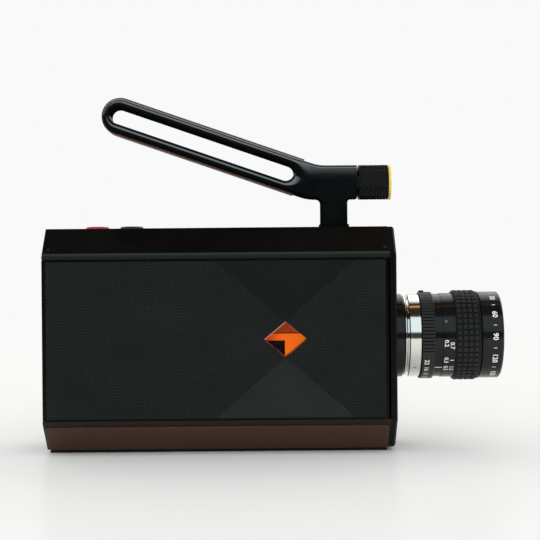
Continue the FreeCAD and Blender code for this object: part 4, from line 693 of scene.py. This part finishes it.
class LEATHER_OT_build(bpy.types.Operator):
    """Build the leather on the lower chamfers and round the handle"""

    bl_idname = "movie_camera.leather"
    bl_label = "Leather"

    def execute(self, context):
        casing = context.scene.movie_camera_casing
        # Full-grain cowhide, pigment dyed brown: small closed pebbles, a soft sheen and cloudy dye.
        brown = grained_leather(
            "dyed_full_grain_leather", ("#462f21", "#503525", "#3c281d"), casing.leather_long, 0.5
        )
        # The same hide in tan: pulled tight, so the pebbles are wider and flatter.
        tan = grained_leather("stretched_tan_leather", ("#5e4230", "#6c4d39", "#402a1f"), 1.2, 0.5)
        for hand, node in ((-1, "base_leather_right"), (1, "base_leather_left")):
            self.strip(node, hand, casing.leather_edge, brown)
        self.wrap(tan)
        return {"FINISHED"}

    def strip(self, node, hand, edge, leather):
        """A strip on the chamfer, its edges skived down to the metal in a quarter round."""
        low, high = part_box(node)
        thick = 0.8 * MM
        drop = thick / math.sqrt(2)
        outer = max(abs(low.y), abs(high.y)) - drop
        inner = min(abs(low.y), abs(high.y))
        start = Vector((low.x, hand * inner, low.z + drop))
        across = Vector((0, hand, 1)).normalized()
        outward = Vector((0, hand, -1)).normalized()
        wide = (outer - inner) * math.sqrt(2)
        long = high.x - low.x
        corner = 0.7 * MM
        points = []
        loops = [(0.0, 0.0)]
        for step in range(1, 7):
            turn = math.radians(15 * step)
            loops.append((edge * (1 - math.cos(turn)), thick * math.sin(turn)))
        # past the edge the hide is a little plumper than at its rim
        loops += [(edge + 1.2 * MM, thick), (wide / 2 - 0.5 * MM, thick)]
        for inset, height in loops:
            radius = max(corner + 0.8 * MM - inset, 0.05 * MM)
            ring = []
            for u0, v0, first in (
                (long - inset - radius, wide - inset - radius, 0),
                (inset + radius, wide - inset - radius, 90),
                (inset + radius, inset + radius, 180),
                (long - inset - radius, inset + radius, 270),
            ):
                for n in range(7):
                    angle = math.radians(first + 15 * n)
                    ring.append((u0 + radius * math.cos(angle), v0 + radius * math.sin(angle)))
            points += [start + Vector((u, 0, 0)) + across * v + outward * height for u, v in ring]
        faces = skin(len(loops), len(ring), hand < 0)
        new_piece(
            node.replace("leather", "strip"), points, faces, leather, "camera_body", sharp=60,
            replaces=(node,),
        )

    def wrap(self, leather):
        """The band round the loop, creased along both edges."""
        ahead, over = Vector(LOOP_AHEAD), Vector(LOOP_OVER)
        low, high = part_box("handle_leather")
        inner, thick, long = LOOP_RADIUS, WRAP_THICK, WRAP_LONG
        half = (high.y - low.y) / 2
        centre = Vector((low.x + inner + thick, 0, high.z - (inner + thick)))
        path = [(centre + ahead * (long * (1 - n / 24)), over) for n in range(24)]
        for n in range(25):
            turn = math.pi * n / 24
            path.append((centre, over * math.cos(turn) - ahead * math.sin(turn)))
        path += [(centre + ahead * (long * n / 24), -over) for n in range(1, 25)]
        section = [(-half, 0.0), (-half + 0.08 * MM, 0.42 * MM), (-half + 0.35 * MM, 0.63 * MM)]
        section += [(-half + 0.9 * MM, 0.67 * MM), (-half + 1.1 * MM, 0.52 * MM), (-half + 1.3 * MM, 0.67 * MM)]
        section += [(-half * 0.4, thick)]
        section += [(-u, v) for u, v in reversed(section)]
        points = []
        for place, outward in path:
            points += [place + outward * (inner + v) + Vector((0, u, 0)) for u, v in section]
        faces = skin(len(path), len(section), False)
        new_piece(
            "handle_wrap", points, faces, leather, "handle", sharp=50,
            replaces=("handle_leather",),
        )


class HANDLE_OT_build(bpy.types.Operator):
    """Finish the handle and build its knurled knob"""

    bl_idname = "movie_camera.handle"
    bl_label = "Handle and knob"

    def execute(self, context):
        handle = context.scene.movie_camera_handle
        # Cast aluminium under stoved enamel: deep black, with a clear but weak reflection on every rounding.
        # The palm polishes it from above, and below it keeps the dull face that the spray left.
        enamel = grained("stoved_enamel", ("#0a0e0e", "#0e1313"), (0.3, 0.4), 6.0, 0.01, Specular_IOR_Level=0.0)
        low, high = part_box("knob")
        crowned(enamel, (low.z + high.z) / 2)
        dress(polished_above(enamel, 0.16, 0.12), "handle_frame", "handle_foot")
        radius = (high.z - low.z) / 2
        # Anodised over a cut knurl: painted shade darkens the grooves, and the tips are worn a little paler.
        knurled = rubbed(
            "knurled_anodised_aluminium", ("#030404", "#202423"), (0.3, 0.42), (low.z + high.z) / 2,
            (radius - 0.26 * MM, radius), 0.4, Specular_IOR_Level=0.25,
        )
        self.knob(handle, knurled)
        # Anodised yellow, turned: clean pale colour with a satin shine.
        yellow = grained(
            "yellow_anodised_aluminium", ("#efcf62", "#f4d972"), (0.35, 0.45), 0.3, 0.003,
            Specular_IOR_Level=0.3,
        )
        self.ring(yellow)
        return {"FINISHED"}

    def ring(self, material):
        """The yellow end ring, crisp at its rim and dished in the middle."""
        low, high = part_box("knob_end_ring")
        radius = (high.z - low.z) / 2
        rows = [
            (low.x, radius - 0.5 * MM), (low.x + 0.15 * MM, radius - 0.1 * MM),
            (low.x + 0.25 * MM, radius), (high.x - 0.12 * MM, radius), (high.x, radius - 0.12 * MM),
            (high.x, radius - 1.6 * MM), (high.x - 0.1 * MM, radius - 1.9 * MM),
            (high.x - 0.6 * MM, radius - 2.4 * MM), (high.x - 0.7 * MM, 0.4 * MM),
        ]
        points, faces = turned(rows, 160, (low.z + high.z) / 2, closed=False)
        new_piece("knob_ring_turned", points, faces, material, "knob", replaces=("knob_end_ring",))

    def knob(self, handle, material):
        """The knob: a thin stem, a waist and a grip with its diamonds."""
        low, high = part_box("knob")
        radius = (high.z - low.z) / 2
        stem, waist, chamfer = 2.45 * MM, 6.7 * MM, 0.35 * MM
        face = high.x - 14.85 * MM
        grip = face + 0.9 * MM
        length = high.x - grip - 2 * chamfer
        rows = [
            (low.x, stem - 0.3 * MM), (low.x + 0.3 * MM, stem), (face, stem), (face, waist),
            (grip, waist), (grip, radius - chamfer), (grip + chamfer, radius),
        ]
        per = 12
        steps = handle.knurls_along * per
        rows += [(grip + chamfer + length * n / steps, radius, 1) for n in range(1, steps)]
        rows += [(high.x - chamfer, radius), (high.x, radius - chamfer)]

        def diamonds(x, angle):
            """Height of the knurl: two crossing sets of grooves leave small pyramids."""
            round_part = angle * handle.knurls_round / (2 * math.pi)
            along = (x - grip - chamfer) / length * handle.knurls_along
            one = np.abs((round_part + along) % 1 - 0.5) * 2
            two = np.abs((round_part - along) % 1 - 0.5) * 2
            return -handle.knurl_deep * np.clip(np.maximum(one, two) * 1.1 - 0.1, 0, 1)

        points, faces = turned(rows, handle.knurls_round * per, (low.z + high.z) / 2, diamonds, closed=False)
        new_piece("knob_knurled", points, faces, material, "knob", sharp=40, replaces=("knob",))


class LENS_OT_build(bpy.types.Operator):
    """Build the lens rings with their ribs, pads and figures"""

    bl_idname = "movie_camera.lens"
    bl_label = "Lens"

    def execute(self, context):
        lens = context.scene.movie_camera_lens
        # Turned, then anodised black: a soft sheen drawn out along the fine tool rings.
        black = grained(
            "turned_anodised_aluminium", ("#0f1110", "#161817"), (0.12, 0.17), 0.35, 0.001, (1, 0.05, 0.05),
            Specular_IOR_Level=0.3,
        )
        dress(black, "mount_boss", "lens_tube", "focus_ring", "front_barrel")
        # Bright nickel and chromium plate on turned brass: it mirrors the room.
        bright = grained(
            "bright_chromium_plate", ("#d4d4d0", "#e0e0dc"), (0.05, 0.09), 0.5, 0.0005, (1, 0.1, 0.1),
            Metallic=1.0,
        )
        self.flange(bright)
        # Satin chromium plate: the same metal, brushed round, so reflections smear along the ring.
        satin = grained(
            "satin_chromium_plate", ("#e4e4de", "#eeeee8"), (0.09, 0.14), 0.25, 0.001, (1, 0.05, 0.05),
            Metallic=1.0,
        )
        dress(satin, "lens_rear_ring")
        # Polished optical glass with a magnesium fluoride coating: clear, with a faint violet reflection.
        glass, shader, place = new_material(
            "coated_optical_glass", "#d9d2e6", 0.01, IOR=1.6, Transmission_Weight=1.0
        )
        dust = add_node(glass, "TexNoise", {"Scale": 1 / (3 * MM), "Detail": 2.0, "Vector": place})
        gloss = add_node(glass, "MapRange", {"To Min": 0.0, "To Max": 0.03, "Value": dust})
        feed(shader, {"Roughness": gloss})
        dress(glass, "front_element")
        white = engraving_paint("white_engraving_enamel", "#f4f4f0")
        self.iris(lens, white)
        self.grip(lens)
        self.figures(lens, white)
        return {"FINISHED"}

    def flange(self, material):
        """The spigot and a rounded bead, with a gap between the bead and the ring in front of it."""
        low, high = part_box("lens_flange")
        rim, bead, bore, spigot = (high.z - low.z) / 2, high.x - 2.2 * MM, 9.0 * MM, 12.7 * MM
        rows = [(low.x, bore), (low.x, spigot), (bead, spigot), (bead, rim - 0.8 * MM)]
        for step in range(1, 12):
            turn = math.pi * step / 12
            rows.append((bead + 0.75 * MM * (1 - math.cos(turn)), rim - 0.7 * MM * (1 - math.sin(turn))))
        rows += [(bead + 1.5 * MM, rim - 1.6 * MM), (high.x, rim - 1.6 * MM), (high.x, bore)]
        points, faces = turned(rows, 160, LENS_Z)
        new_piece(
            "lens_flange_beaded", points, faces, material, "camera_body",
            replaces=("lens_flange",),
        )

    def iris(self, lens, white):
        """The aperture ring, with its ribs worn at their tops, and its figures."""
        low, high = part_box("iris_ring")
        outer, bore, bevel = (high.z - low.z) / 2, 17.05 * MM, 0.6 * MM
        rows = [
            (low.x, bore), (low.x, outer - bevel), (low.x + bevel, outer), (low.x + 0.7 * MM, outer),
            (low.x + 0.85 * MM, outer, 1), (high.x - 0.6 * MM, outer, 1), (high.x - 0.45 * MM, outer),
            (high.x - 0.25 * MM, outer), (high.x, outer - 0.25 * MM), (high.x, bore),
        ]

        def ribs(x, angle):
            """Grooves all round but for the smooth sector that carries the figures."""
            part = (angle * lens.ribs / (2 * math.pi)) % 1
            groove = smooth((0.5 - np.abs(part - 0.5)) * 4) * -1 + 1
            # the angle counts from straight up: the sector runs from 112 to 215 degrees
            degrees = np.degrees(angle)
            ribbed = smooth((112 - degrees) / 1.5) + smooth((degrees - 215) / 1.5)
            return -lens.rib_deep * groove * ribbed + 0 * x

        points, faces = turned(rows, lens.ribs * 10, LENS_Z, ribs)
        # The ribs' tops are bare of the satin that the turned barrel has: greyer, and duller; the grooves
        # between them are darkened by painted shade.
        worn = rubbed(
            "ribbed_anodised_aluminium", ("#070808", "#262a28"), (0.35, 0.45), LENS_Z,
            (outer - lens.rib_deep, outer - 0.1 * MM), 0.3, Specular_IOR_Level=0.3,
        )
        new_piece("iris_ring_ribbed", points, faces, worn, "iris", replaces=("iris_ring",))
        x = (low.x + high.x) / 2 - 0.6 * MM
        stops = (("22", -35.5), ("16", -47.5), ("11", -59.5), ("8", -71.5), ("5.6", -84), ("4", -97))
        marks = [(flat_text(text, lens.figure_tall), x, degrees) for text, degrees in stops]
        engrave("iris_figures", marks, outer + PAINT_HIGH, white, "iris")

    def grip(self, lens):
        """The rubber grip, with its rows of pads."""
        low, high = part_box("focus_grip")
        outer, inner = (high.z - low.z) / 2, 19.7 * MM
        deep, groove, wall, soft = 0.6 * MM, 0.27 * MM, 0.12 * MM, 0.25 * MM
        # Moulded nitrile rubber: dull, greyer on the tops of the pads where fingers polish it, and darkened by
        # painted shade in the grooves.
        rubber = rubbed(
            "moulded_nitrile_rubber", ("#0e0f0e", "#202322"), (0.55, 0.7), LENS_Z,
            (outer - deep, outer - 0.15 * MM), 0.5, Specular_IOR_Level=0.3,
        )
        start, end = low.x + 0.3 * MM, high.x - 1.0 * MM
        pitch = (end - start) / lens.pads_along
        turn = 2 * math.pi / lens.pads_round

        def across(span):
            """Places over one pad, close together at its walls."""
            edges = (groove, groove + wall, groove + wall + soft)
            return [-groove * 0.5, groove * 0.5, *edges, span / 2, *(span - edge for edge in reversed(edges))]

        rows = [(low.x, inner), (low.x, outer - deep)]
        for pad in range(lens.pads_along):
            rows += [(start + pad * pitch + place, outer, 1) for place in across(pitch)]
        rows += [(end - groove * 0.5, outer, 1), (end, outer - deep), (high.x, outer - deep), (high.x, inner)]
        ring = [place / outer for place in across(turn * outer)]
        angles = np.array([pad * turn + place for pad in range(lens.pads_round) for place in ring])

        def rise(place, span):
            """0 in the groove, and 1 on the pad past its wall and its rounded shoulder."""
            inside = span / 2 - np.abs((place / span) % 1 - 0.5) * span
            step = np.clip((inside - groove) / wall, 0, 1)
            return 0.85 * step + 0.15 * smooth((inside - groove - wall) / soft)

        def pads(x, angle):
            """Flat pads with steep walls and flat-bottomed grooves between them."""
            return -deep * (1 - np.minimum(rise(x - start, pitch), rise(angle * outer, turn * outer)))

        points, faces = turned(rows, len(angles), LENS_Z, pads, angles=angles)
        new_piece(
            "focus_grip_pads", points, faces, rubber, "focus", sharp=30,
            replaces=("focus_grip",),
        )

    def figures(self, lens, white):
        """Figures, dots and lines of the focus ring, the collar, the rear ring and the front."""
        metres, feet = LENS_LOW.x + 1.35 * MM, LENS_LOW.x + 4.0 * MM
        surface = (LENS_HIGH.z - LENS_LOW.z) / 2
        distances = (
            ("0.2", metres, -8.8), ("0.3", metres, -33.6), ("0.5", metres, -48.5), ("2", metres, -77),
            ("0.7", feet, -12), ("1", feet, -33.6), ("1.5", feet, -48.5), ("7", feet, -77),
        )
        marks = [(flat_text(text, lens.figure_tall * 0.9), x, degrees) for text, x, degrees in distances]
        engrave("focus_figures", marks, surface + PAINT_HIGH, white, "focus")

        collar_start, collar_end, painted = 78.36 * MM, 81.96 * MM, 19.42 * MM
        line = flat_bar(0.42 * MM, collar_end - collar_start - 0.1 * MM)
        engrave("index_line", [(line, (collar_start + collar_end) / 2, -47.5)], painted, white, "camera_body")

        red = engraving_paint("red_engraving_enamel", "#6e2a22")
        x = LENS_LOW.x + 1.3 * MM
        engrave("focus_dot", [(flat_dot(0.34 * MM), x, 21)], surface + 2 * PAINT_HIGH, red, "focus")
        pale = engraving_paint("pale_engraving_enamel", "#8d8479")
        engrave("focus_dot_rim", [(flat_dot(0.6 * MM), x, 21)], surface + PAINT_HIGH, pale, "focus")

        black = engraving_paint("black_engraving_enamel", "#161616")
        ring_low, ring_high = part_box("lens_rear_ring")
        x = (ring_low.x + ring_high.x) / 2
        marks = [(flat_text("1", 1.3 * MM), x, 73), (flat_text("2", 1.3 * MM), x, -48)]
        painted = (ring_high.z - ring_low.z) / 2 + PAINT_HIGH
        engrave("ring_figures", marks, painted, black, "camera_body")

        barrel_low, barrel_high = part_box("front_barrel")
        x = barrel_high.x - 4.0 * MM
        marks = []
        for turn in range(0, 360, 30):
            marks.append((flat_text(str(turn), 2.3 * MM), x, 90 - turn))
            marks.append((flat_bar(0.3 * MM, 1.5 * MM), x, 75 - turn))
        engrave("barrel_figures", marks, (barrel_high.z - barrel_low.z) / 2 + PAINT_HIGH, white, "front")


class DISPLAY_OT_dress(bpy.types.Operator):
    """Finish the display and build the jog wheel's ribbed rim"""

    bl_idname = "movie_camera.display"
    bl_label = "Display and controls"

    def execute(self, context):
        # Painted magnesium: satin, with the slight orange peel of spray paint.
        paint = grained(
            "sprayed_satin_paint", ("#0f1011", "#141516"), (0.35, 0.45), 1.0, 0.012, Specular_IOR_Level=0.4
        )
        dress(paint, "display_housing")
        # Toughened cover glass: a black mirror with faint smears.
        glass = grained(
            "toughened_cover_glass", ("#040506", "#07080a"), (0.04, 0.12), 12.0, 0.001, Specular_IOR_Level=0.6
        )
        dress(glass, "display_screen")
        # Anodised crimson, turned: a deep red with a satin top.
        crimson = grained(
            "crimson_anodised_aluminium", ("#c4183a", "#d62a4a"), (0.3, 0.42), 0.4, 0.004, Metallic=0.0
        )
        dress(crimson, "record_button")
        # Anodised grey-green: darker than bare metal, with a satin top.
        dress(
            grained("slate_anodised_aluminium", ("#222e2c", "#2e3a38"), (0.3, 0.42), 0.4, 0.004, Metallic=0.2),
            "menu_button",
        )
        wheel = grained(
            "turned_wheel_aluminium", ("#101111", "#1c1d1d"), (0.28, 0.38), 0.3, 0.005, Specular_IOR_Level=0.5
        )
        self.wheel(wheel)
        return {"FINISHED"}

    def wheel(self, material):
        """The jog wheel, with a ribbed rim and a dished face."""
        low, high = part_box("jog_wheel")
        outer = (high.z - low.z) / 2
        middle = (low + high) / 2
        face = high.y - 3.2 * MM
        rows = [
            (low.y, 3.7 * MM), (low.y + 0.3 * MM, 4.0 * MM), (low.y + 1 * MM, 4.0 * MM),
            (low.y + 1 * MM, 2.5 * MM), (face, 2.5 * MM), (face, outer - 0.3 * MM),
            (face + 0.3 * MM, outer), (face + 0.5 * MM, outer, 1), (high.y - 0.9 * MM, outer, 1),
            (high.y - 0.7 * MM, outer), (high.y, outer - 0.8 * MM), (high.y, outer - 1.8 * MM),
            (high.y - 0.25 * MM, outer - 2.1 * MM), (high.y - 0.55 * MM, outer * 0.45),
            (high.y - 0.6 * MM, outer * 0.1),
        ]

        ribs_round, rib_deep, per_rib = 60, 0.3 * MM, 8

        def ribs(x, angle):
            """Grooves all round the rim."""
            part = (angle * ribs_round / (2 * math.pi)) % 1
            return -rib_deep * (1 - smooth((0.5 - np.abs(part - 0.5)) * 6)) + 0 * x

        points, faces = turned(rows, ribs_round * per_rib, 0.0, ribs, closed=False)
        # turned about +X, then laid over so that it faces the camera's left
        points = np.stack([middle.x - points[:, 1], points[:, 0], middle.z + points[:, 2]], axis=-1)
        new_piece("jog_wheel_ribbed", points, faces, material, "jog", replaces=("jog_wheel",))


class INSIDE_OT_dress(bpy.types.Operator):
    """Finish the parts inside the casing"""

    bl_idname = "movie_camera.inside"
    bl_label = "Inside"

    def execute(self, context):
        # Bead blasted aluminium sheet: pale, dull and even.
        blasted = grained(
            "bead_blasted_sheet_aluminium", ("#8f9294", "#a3a6a8"), (0.42, 0.55), 0.4, 0.01, Metallic=1.0
        )
        dress(blasted, "chassis_plate", "gate_plate")
        dress(etched_board("solder_masked_board"), "main_board", "switch_board")
        # Shrunk polyester sleeve: glossy blue, pulled into faint ripples.
        dress(
            grained("shrunk_polyester_sleeve", ("#16243f", "#1e3053"), (0.2, 0.32), 3.0, 0.06, (1, 1, 0.3)),
            "battery_pack",
        )
        # Hobbed brass: yellow metal with bright tooth flanks.
        dress(
            grained("hobbed_brass", ("#b08d3c", "#c7a24c"), (0.24, 0.36), 0.3, 0.005, Metallic=1.0),
            "motor_pinion",
        )
        # Moulded acetal: milky white, a little waxy.
        dress(
            grained("moulded_acetal", ("#dcdcd4", "#e8e8e2"), (0.38, 0.5), 1.2, 0.008, Specular_IOR_Level=0.4),
            "takeup_spindle",
        )
        return {"FINISHED"}


class STAGE_OT_build(bpy.types.Operator):
    """Set up the floor, the lights and the camera"""

    bl_idname = "movie_camera.stage"
    bl_label = "Stage"

    def execute(self, context):
        stage = context.scene.movie_camera_stage
        context.scene.view_settings.view_transform = "Standard"
        self.floor()
        self.world(context.scene, stage.around)
        self.light(context, "window_light", stage.window_light, "#e6f2fb", (0.0, -2.0, 1.3), (2.4, 1.9))
        self.light(context, "rear_light", stage.rear_light, "#fffaf2", (0.0, 1.5, 1.7), (2.4, 1.4))
        self.light(context, "overhead_strip", stage.overhead_strip, "#ffb060", (0.1, -0.15, 1.6), (1.2, 0.15))
        self.camera(context, stage)
        return {"FINISHED"}

    def floor(self):
        """A white board with a dull shine. Far off it runs into the white of the background."""
        material, shader, place = new_material("painted_white_board", "#f6f6f4", 0.6, Specular_IOR_Level=0.0)
        add = partial(add_node, material)
        shine = add("BsdfAnisotropic", {"Color": opaque("#ffffff"), "Roughness": 0.26})
        surface = add("MixShader", {0: 0.08, 1: shader, 2: shine})
        far = add("VectorMath", {"operation": "LENGTH", 0: place})
        fade = add("MapRange", {"From Min": 0.35, "From Max": 1.4, **SOFT, "Value": far.outputs["Value"]})
        path = add("LightPath", {})
        seen = add("Math", {
            "operation": "MAXIMUM", 0: path.outputs["Is Camera Ray"], 1: path.outputs["Is Glossy Ray"],
        })
        faded = add("Math", {"operation": "MULTIPLY", 0: seen, 1: fade})
        # in reflections the board fades out 0.40 to 0.46 m in front of the subject, where the dim room begins
        axes = add("SeparateXYZ", {"Vector": place})
        edge = add("MapRange", {"From Min": -0.40, "From Max": -0.46, "Value": axes.outputs["Y"]})
        ended = add("Math", {"operation": "MULTIPLY", 0: path.outputs["Is Glossy Ray"], 1: edge})
        amount = add("Math", {"operation": "MAXIMUM", 0: faded, 1: ended})
        front = add("MapRange", {"From Min": 0.0, "From Max": -0.3, "Value": axes.outputs["Y"]})
        dim = add("Math", {"operation": "MULTIPLY", 0: path.outputs["Is Glossy Ray"], 1: front})
        shade = add("Mix", {**RGBA, FROM: opaque("#f9f9f9"), TO: opaque("#38332c"), 0: dim})
        beyond = add("Emission", {"Strength": 1.0, "Color": shade.outputs[MIXED]})
        mixed = add("MixShader", {0: amount, 1: surface, 2: beyond})
        feed(material.node_tree.nodes["Material Output"], {"Surface": mixed})
        count, radius = 64, 6.0
        turns = [2 * math.pi * n / count for n in range(count)]
        mesh = bpy.data.meshes.new("floor")
        rim = [(radius * math.cos(turn), radius * math.sin(turn), 0) for turn in turns]
        mesh.from_pydata(rim, [], [tuple(range(count))])
        mesh.materials.append(material)
        board = bpy.data.objects.new("floor", mesh)
        bpy.context.scene.collection.objects.link(board)

    def world(self, scene, around):
        """White where the camera looks; for reflections a dim room with a white wall behind the subject."""
        world = bpy.data.worlds.new("room")
        scene.world = world
        world.use_nodes = True
        add = partial(add_node, world)
        way = add("TexCoord", {}).outputs["Generated"]
        axes = add("SeparateXYZ", {"Vector": way})
        toward = add("Math", {"operation": "MULTIPLY", 1: -1.0, 0: axes.outputs["Y"]})
        rise = add("Math", {"operation": "ARCTAN2", 0: axes.outputs["Z"], 1: toward})
        part = add("MapRange", {"From Max": math.pi, "Value": rise})
        ramp = add("ValToRGB", {"Fac": part})
        bands = (
            (0.0, "#38332c"), (0.05, "#302e2a"), (0.3, "#262522"), (0.5, "#1e1a15"), (0.565, "#1e1a15"),
            (0.6, "#f6f6f4"), (1.0, "#f9f9f9"),
        )
        while len(ramp.color_ramp.elements) < len(bands):
            ramp.color_ramp.elements.new(0.5)
        for element, (spot, code) in zip(ramp.color_ramp.elements, bands):
            element.position = spot
            element.color = opaque(code)
        sideways = add("Math", {"operation": "ABSOLUTE", 0: axes.outputs["X"]})
        to_side = add("MapRange", {"From Min": 0.6, "From Max": 0.98, **SOFT, "Value": sideways})
        room = add("Mix", {**RGBA, TO: opaque("#8a8a88"), 0: to_side, FROM: ramp.outputs["Color"]})
        path = add("LightPath", {})
        mirrored = add("Math", {
            "operation": "MAXIMUM", 0: path.outputs["Is Glossy Ray"], 1: path.outputs["Is Transmission Ray"],
        })
        even = add("Mix", {**RGBA, FROM: (around, around, around, 1.0), 0: mirrored, TO: room.outputs[MIXED]})
        seen = add("Mix", {
            **RGBA, TO: opaque("#f9f9f9"), 0: path.outputs["Is Camera Ray"], FROM: even.outputs[MIXED],
        })
        feed(world.node_tree.nodes["Background"], {"Color": seen.outputs[MIXED]})

    def light(self, context, name, power, colour, place, size):
        """A rectangular lamp, turned to the subject."""
        data = bpy.data.lights.new(name, "AREA")
        data.shape = "RECTANGLE"
        data.size, data.size_y = size
        data.energy = power
        data.color = linear(colour)
        lamp = bpy.data.objects.new(name, data)
        lamp.location = place
        aim = Vector((0.0, 0.0, 0.07)) - Vector(place)
        lamp.rotation_euler = aim.to_track_quat("-Z", "Y").to_euler()
        context.scene.collection.objects.link(lamp)

    def camera(self, context, stage):
        """The camera, square to the subject's right side and rolled a little."""
        data = bpy.data.cameras.new("camera")
        data.lens = stage.focal
        data.sensor_width = SENSOR_WIDE
        camera = bpy.data.objects.new("camera", data)
        place = Matrix.Translation((CAMERA_AHEAD, -stage.distance, CAMERA_HIGH))
        roll = Matrix.Rotation(CAMERA_ROLL, 4, "Y")
        camera.matrix_world = place @ roll @ Matrix.Rotation(math.radians(90), 4, "X")
        context.scene.collection.objects.link(camera)
        context.scene.camera = camera


OPERATORS = (
    CASING_OT_dress, DOOR_OT_dress, LEATHER_OT_build, HANDLE_OT_build, LENS_OT_build, DISPLAY_OT_dress,
    INSIDE_OT_dress, STAGE_OT_build,
)


class VIEW3D_PT_movie_camera(bpy.types.Panel):
    """Sizes, colours and pieces of the movie camera"""

    bl_label = "Movie camera"
    bl_space_type = "VIEW_3D"
    bl_region_type = "UI"
    bl_category = "Movie camera"

    def draw(self, context):
        for group in GROUPS:
            box = self.layout.box()
            for name in GROUPS[group].__annotations__:
                box.prop(getattr(context.scene, group), name)
        for operator in OPERATORS:
            self.layout.operator(operator.bl_idname)


GROUPS = {
    "movie_camera_casing": CasingFinish,
    "movie_camera_handle": HandleFinish,
    "movie_camera_lens": LensFinish,
    "movie_camera_stage": StageSettings,
}
CLASSES = (*GROUPS.values(), *OPERATORS, VIEW3D_PT_movie_camera)


def register():
    for cls in CLASSES:
        bpy.utils.register_class(cls)
    for name, cls in GROUPS.items():
        setattr(bpy.types.Scene, name, bpy.props.PointerProperty(type=cls))


def unregister():
    for name in GROUPS:
        delattr(bpy.types.Scene, name)
    for cls in reversed(CLASSES):
        bpy.utils.unregister_class(cls)


def main():
    register()
    for operator in OPERATORS:
        group, name = operator.bl_idname.split(".")
        getattr(getattr(bpy.ops, group), name)()


if __name__ == "__main__":
    main()
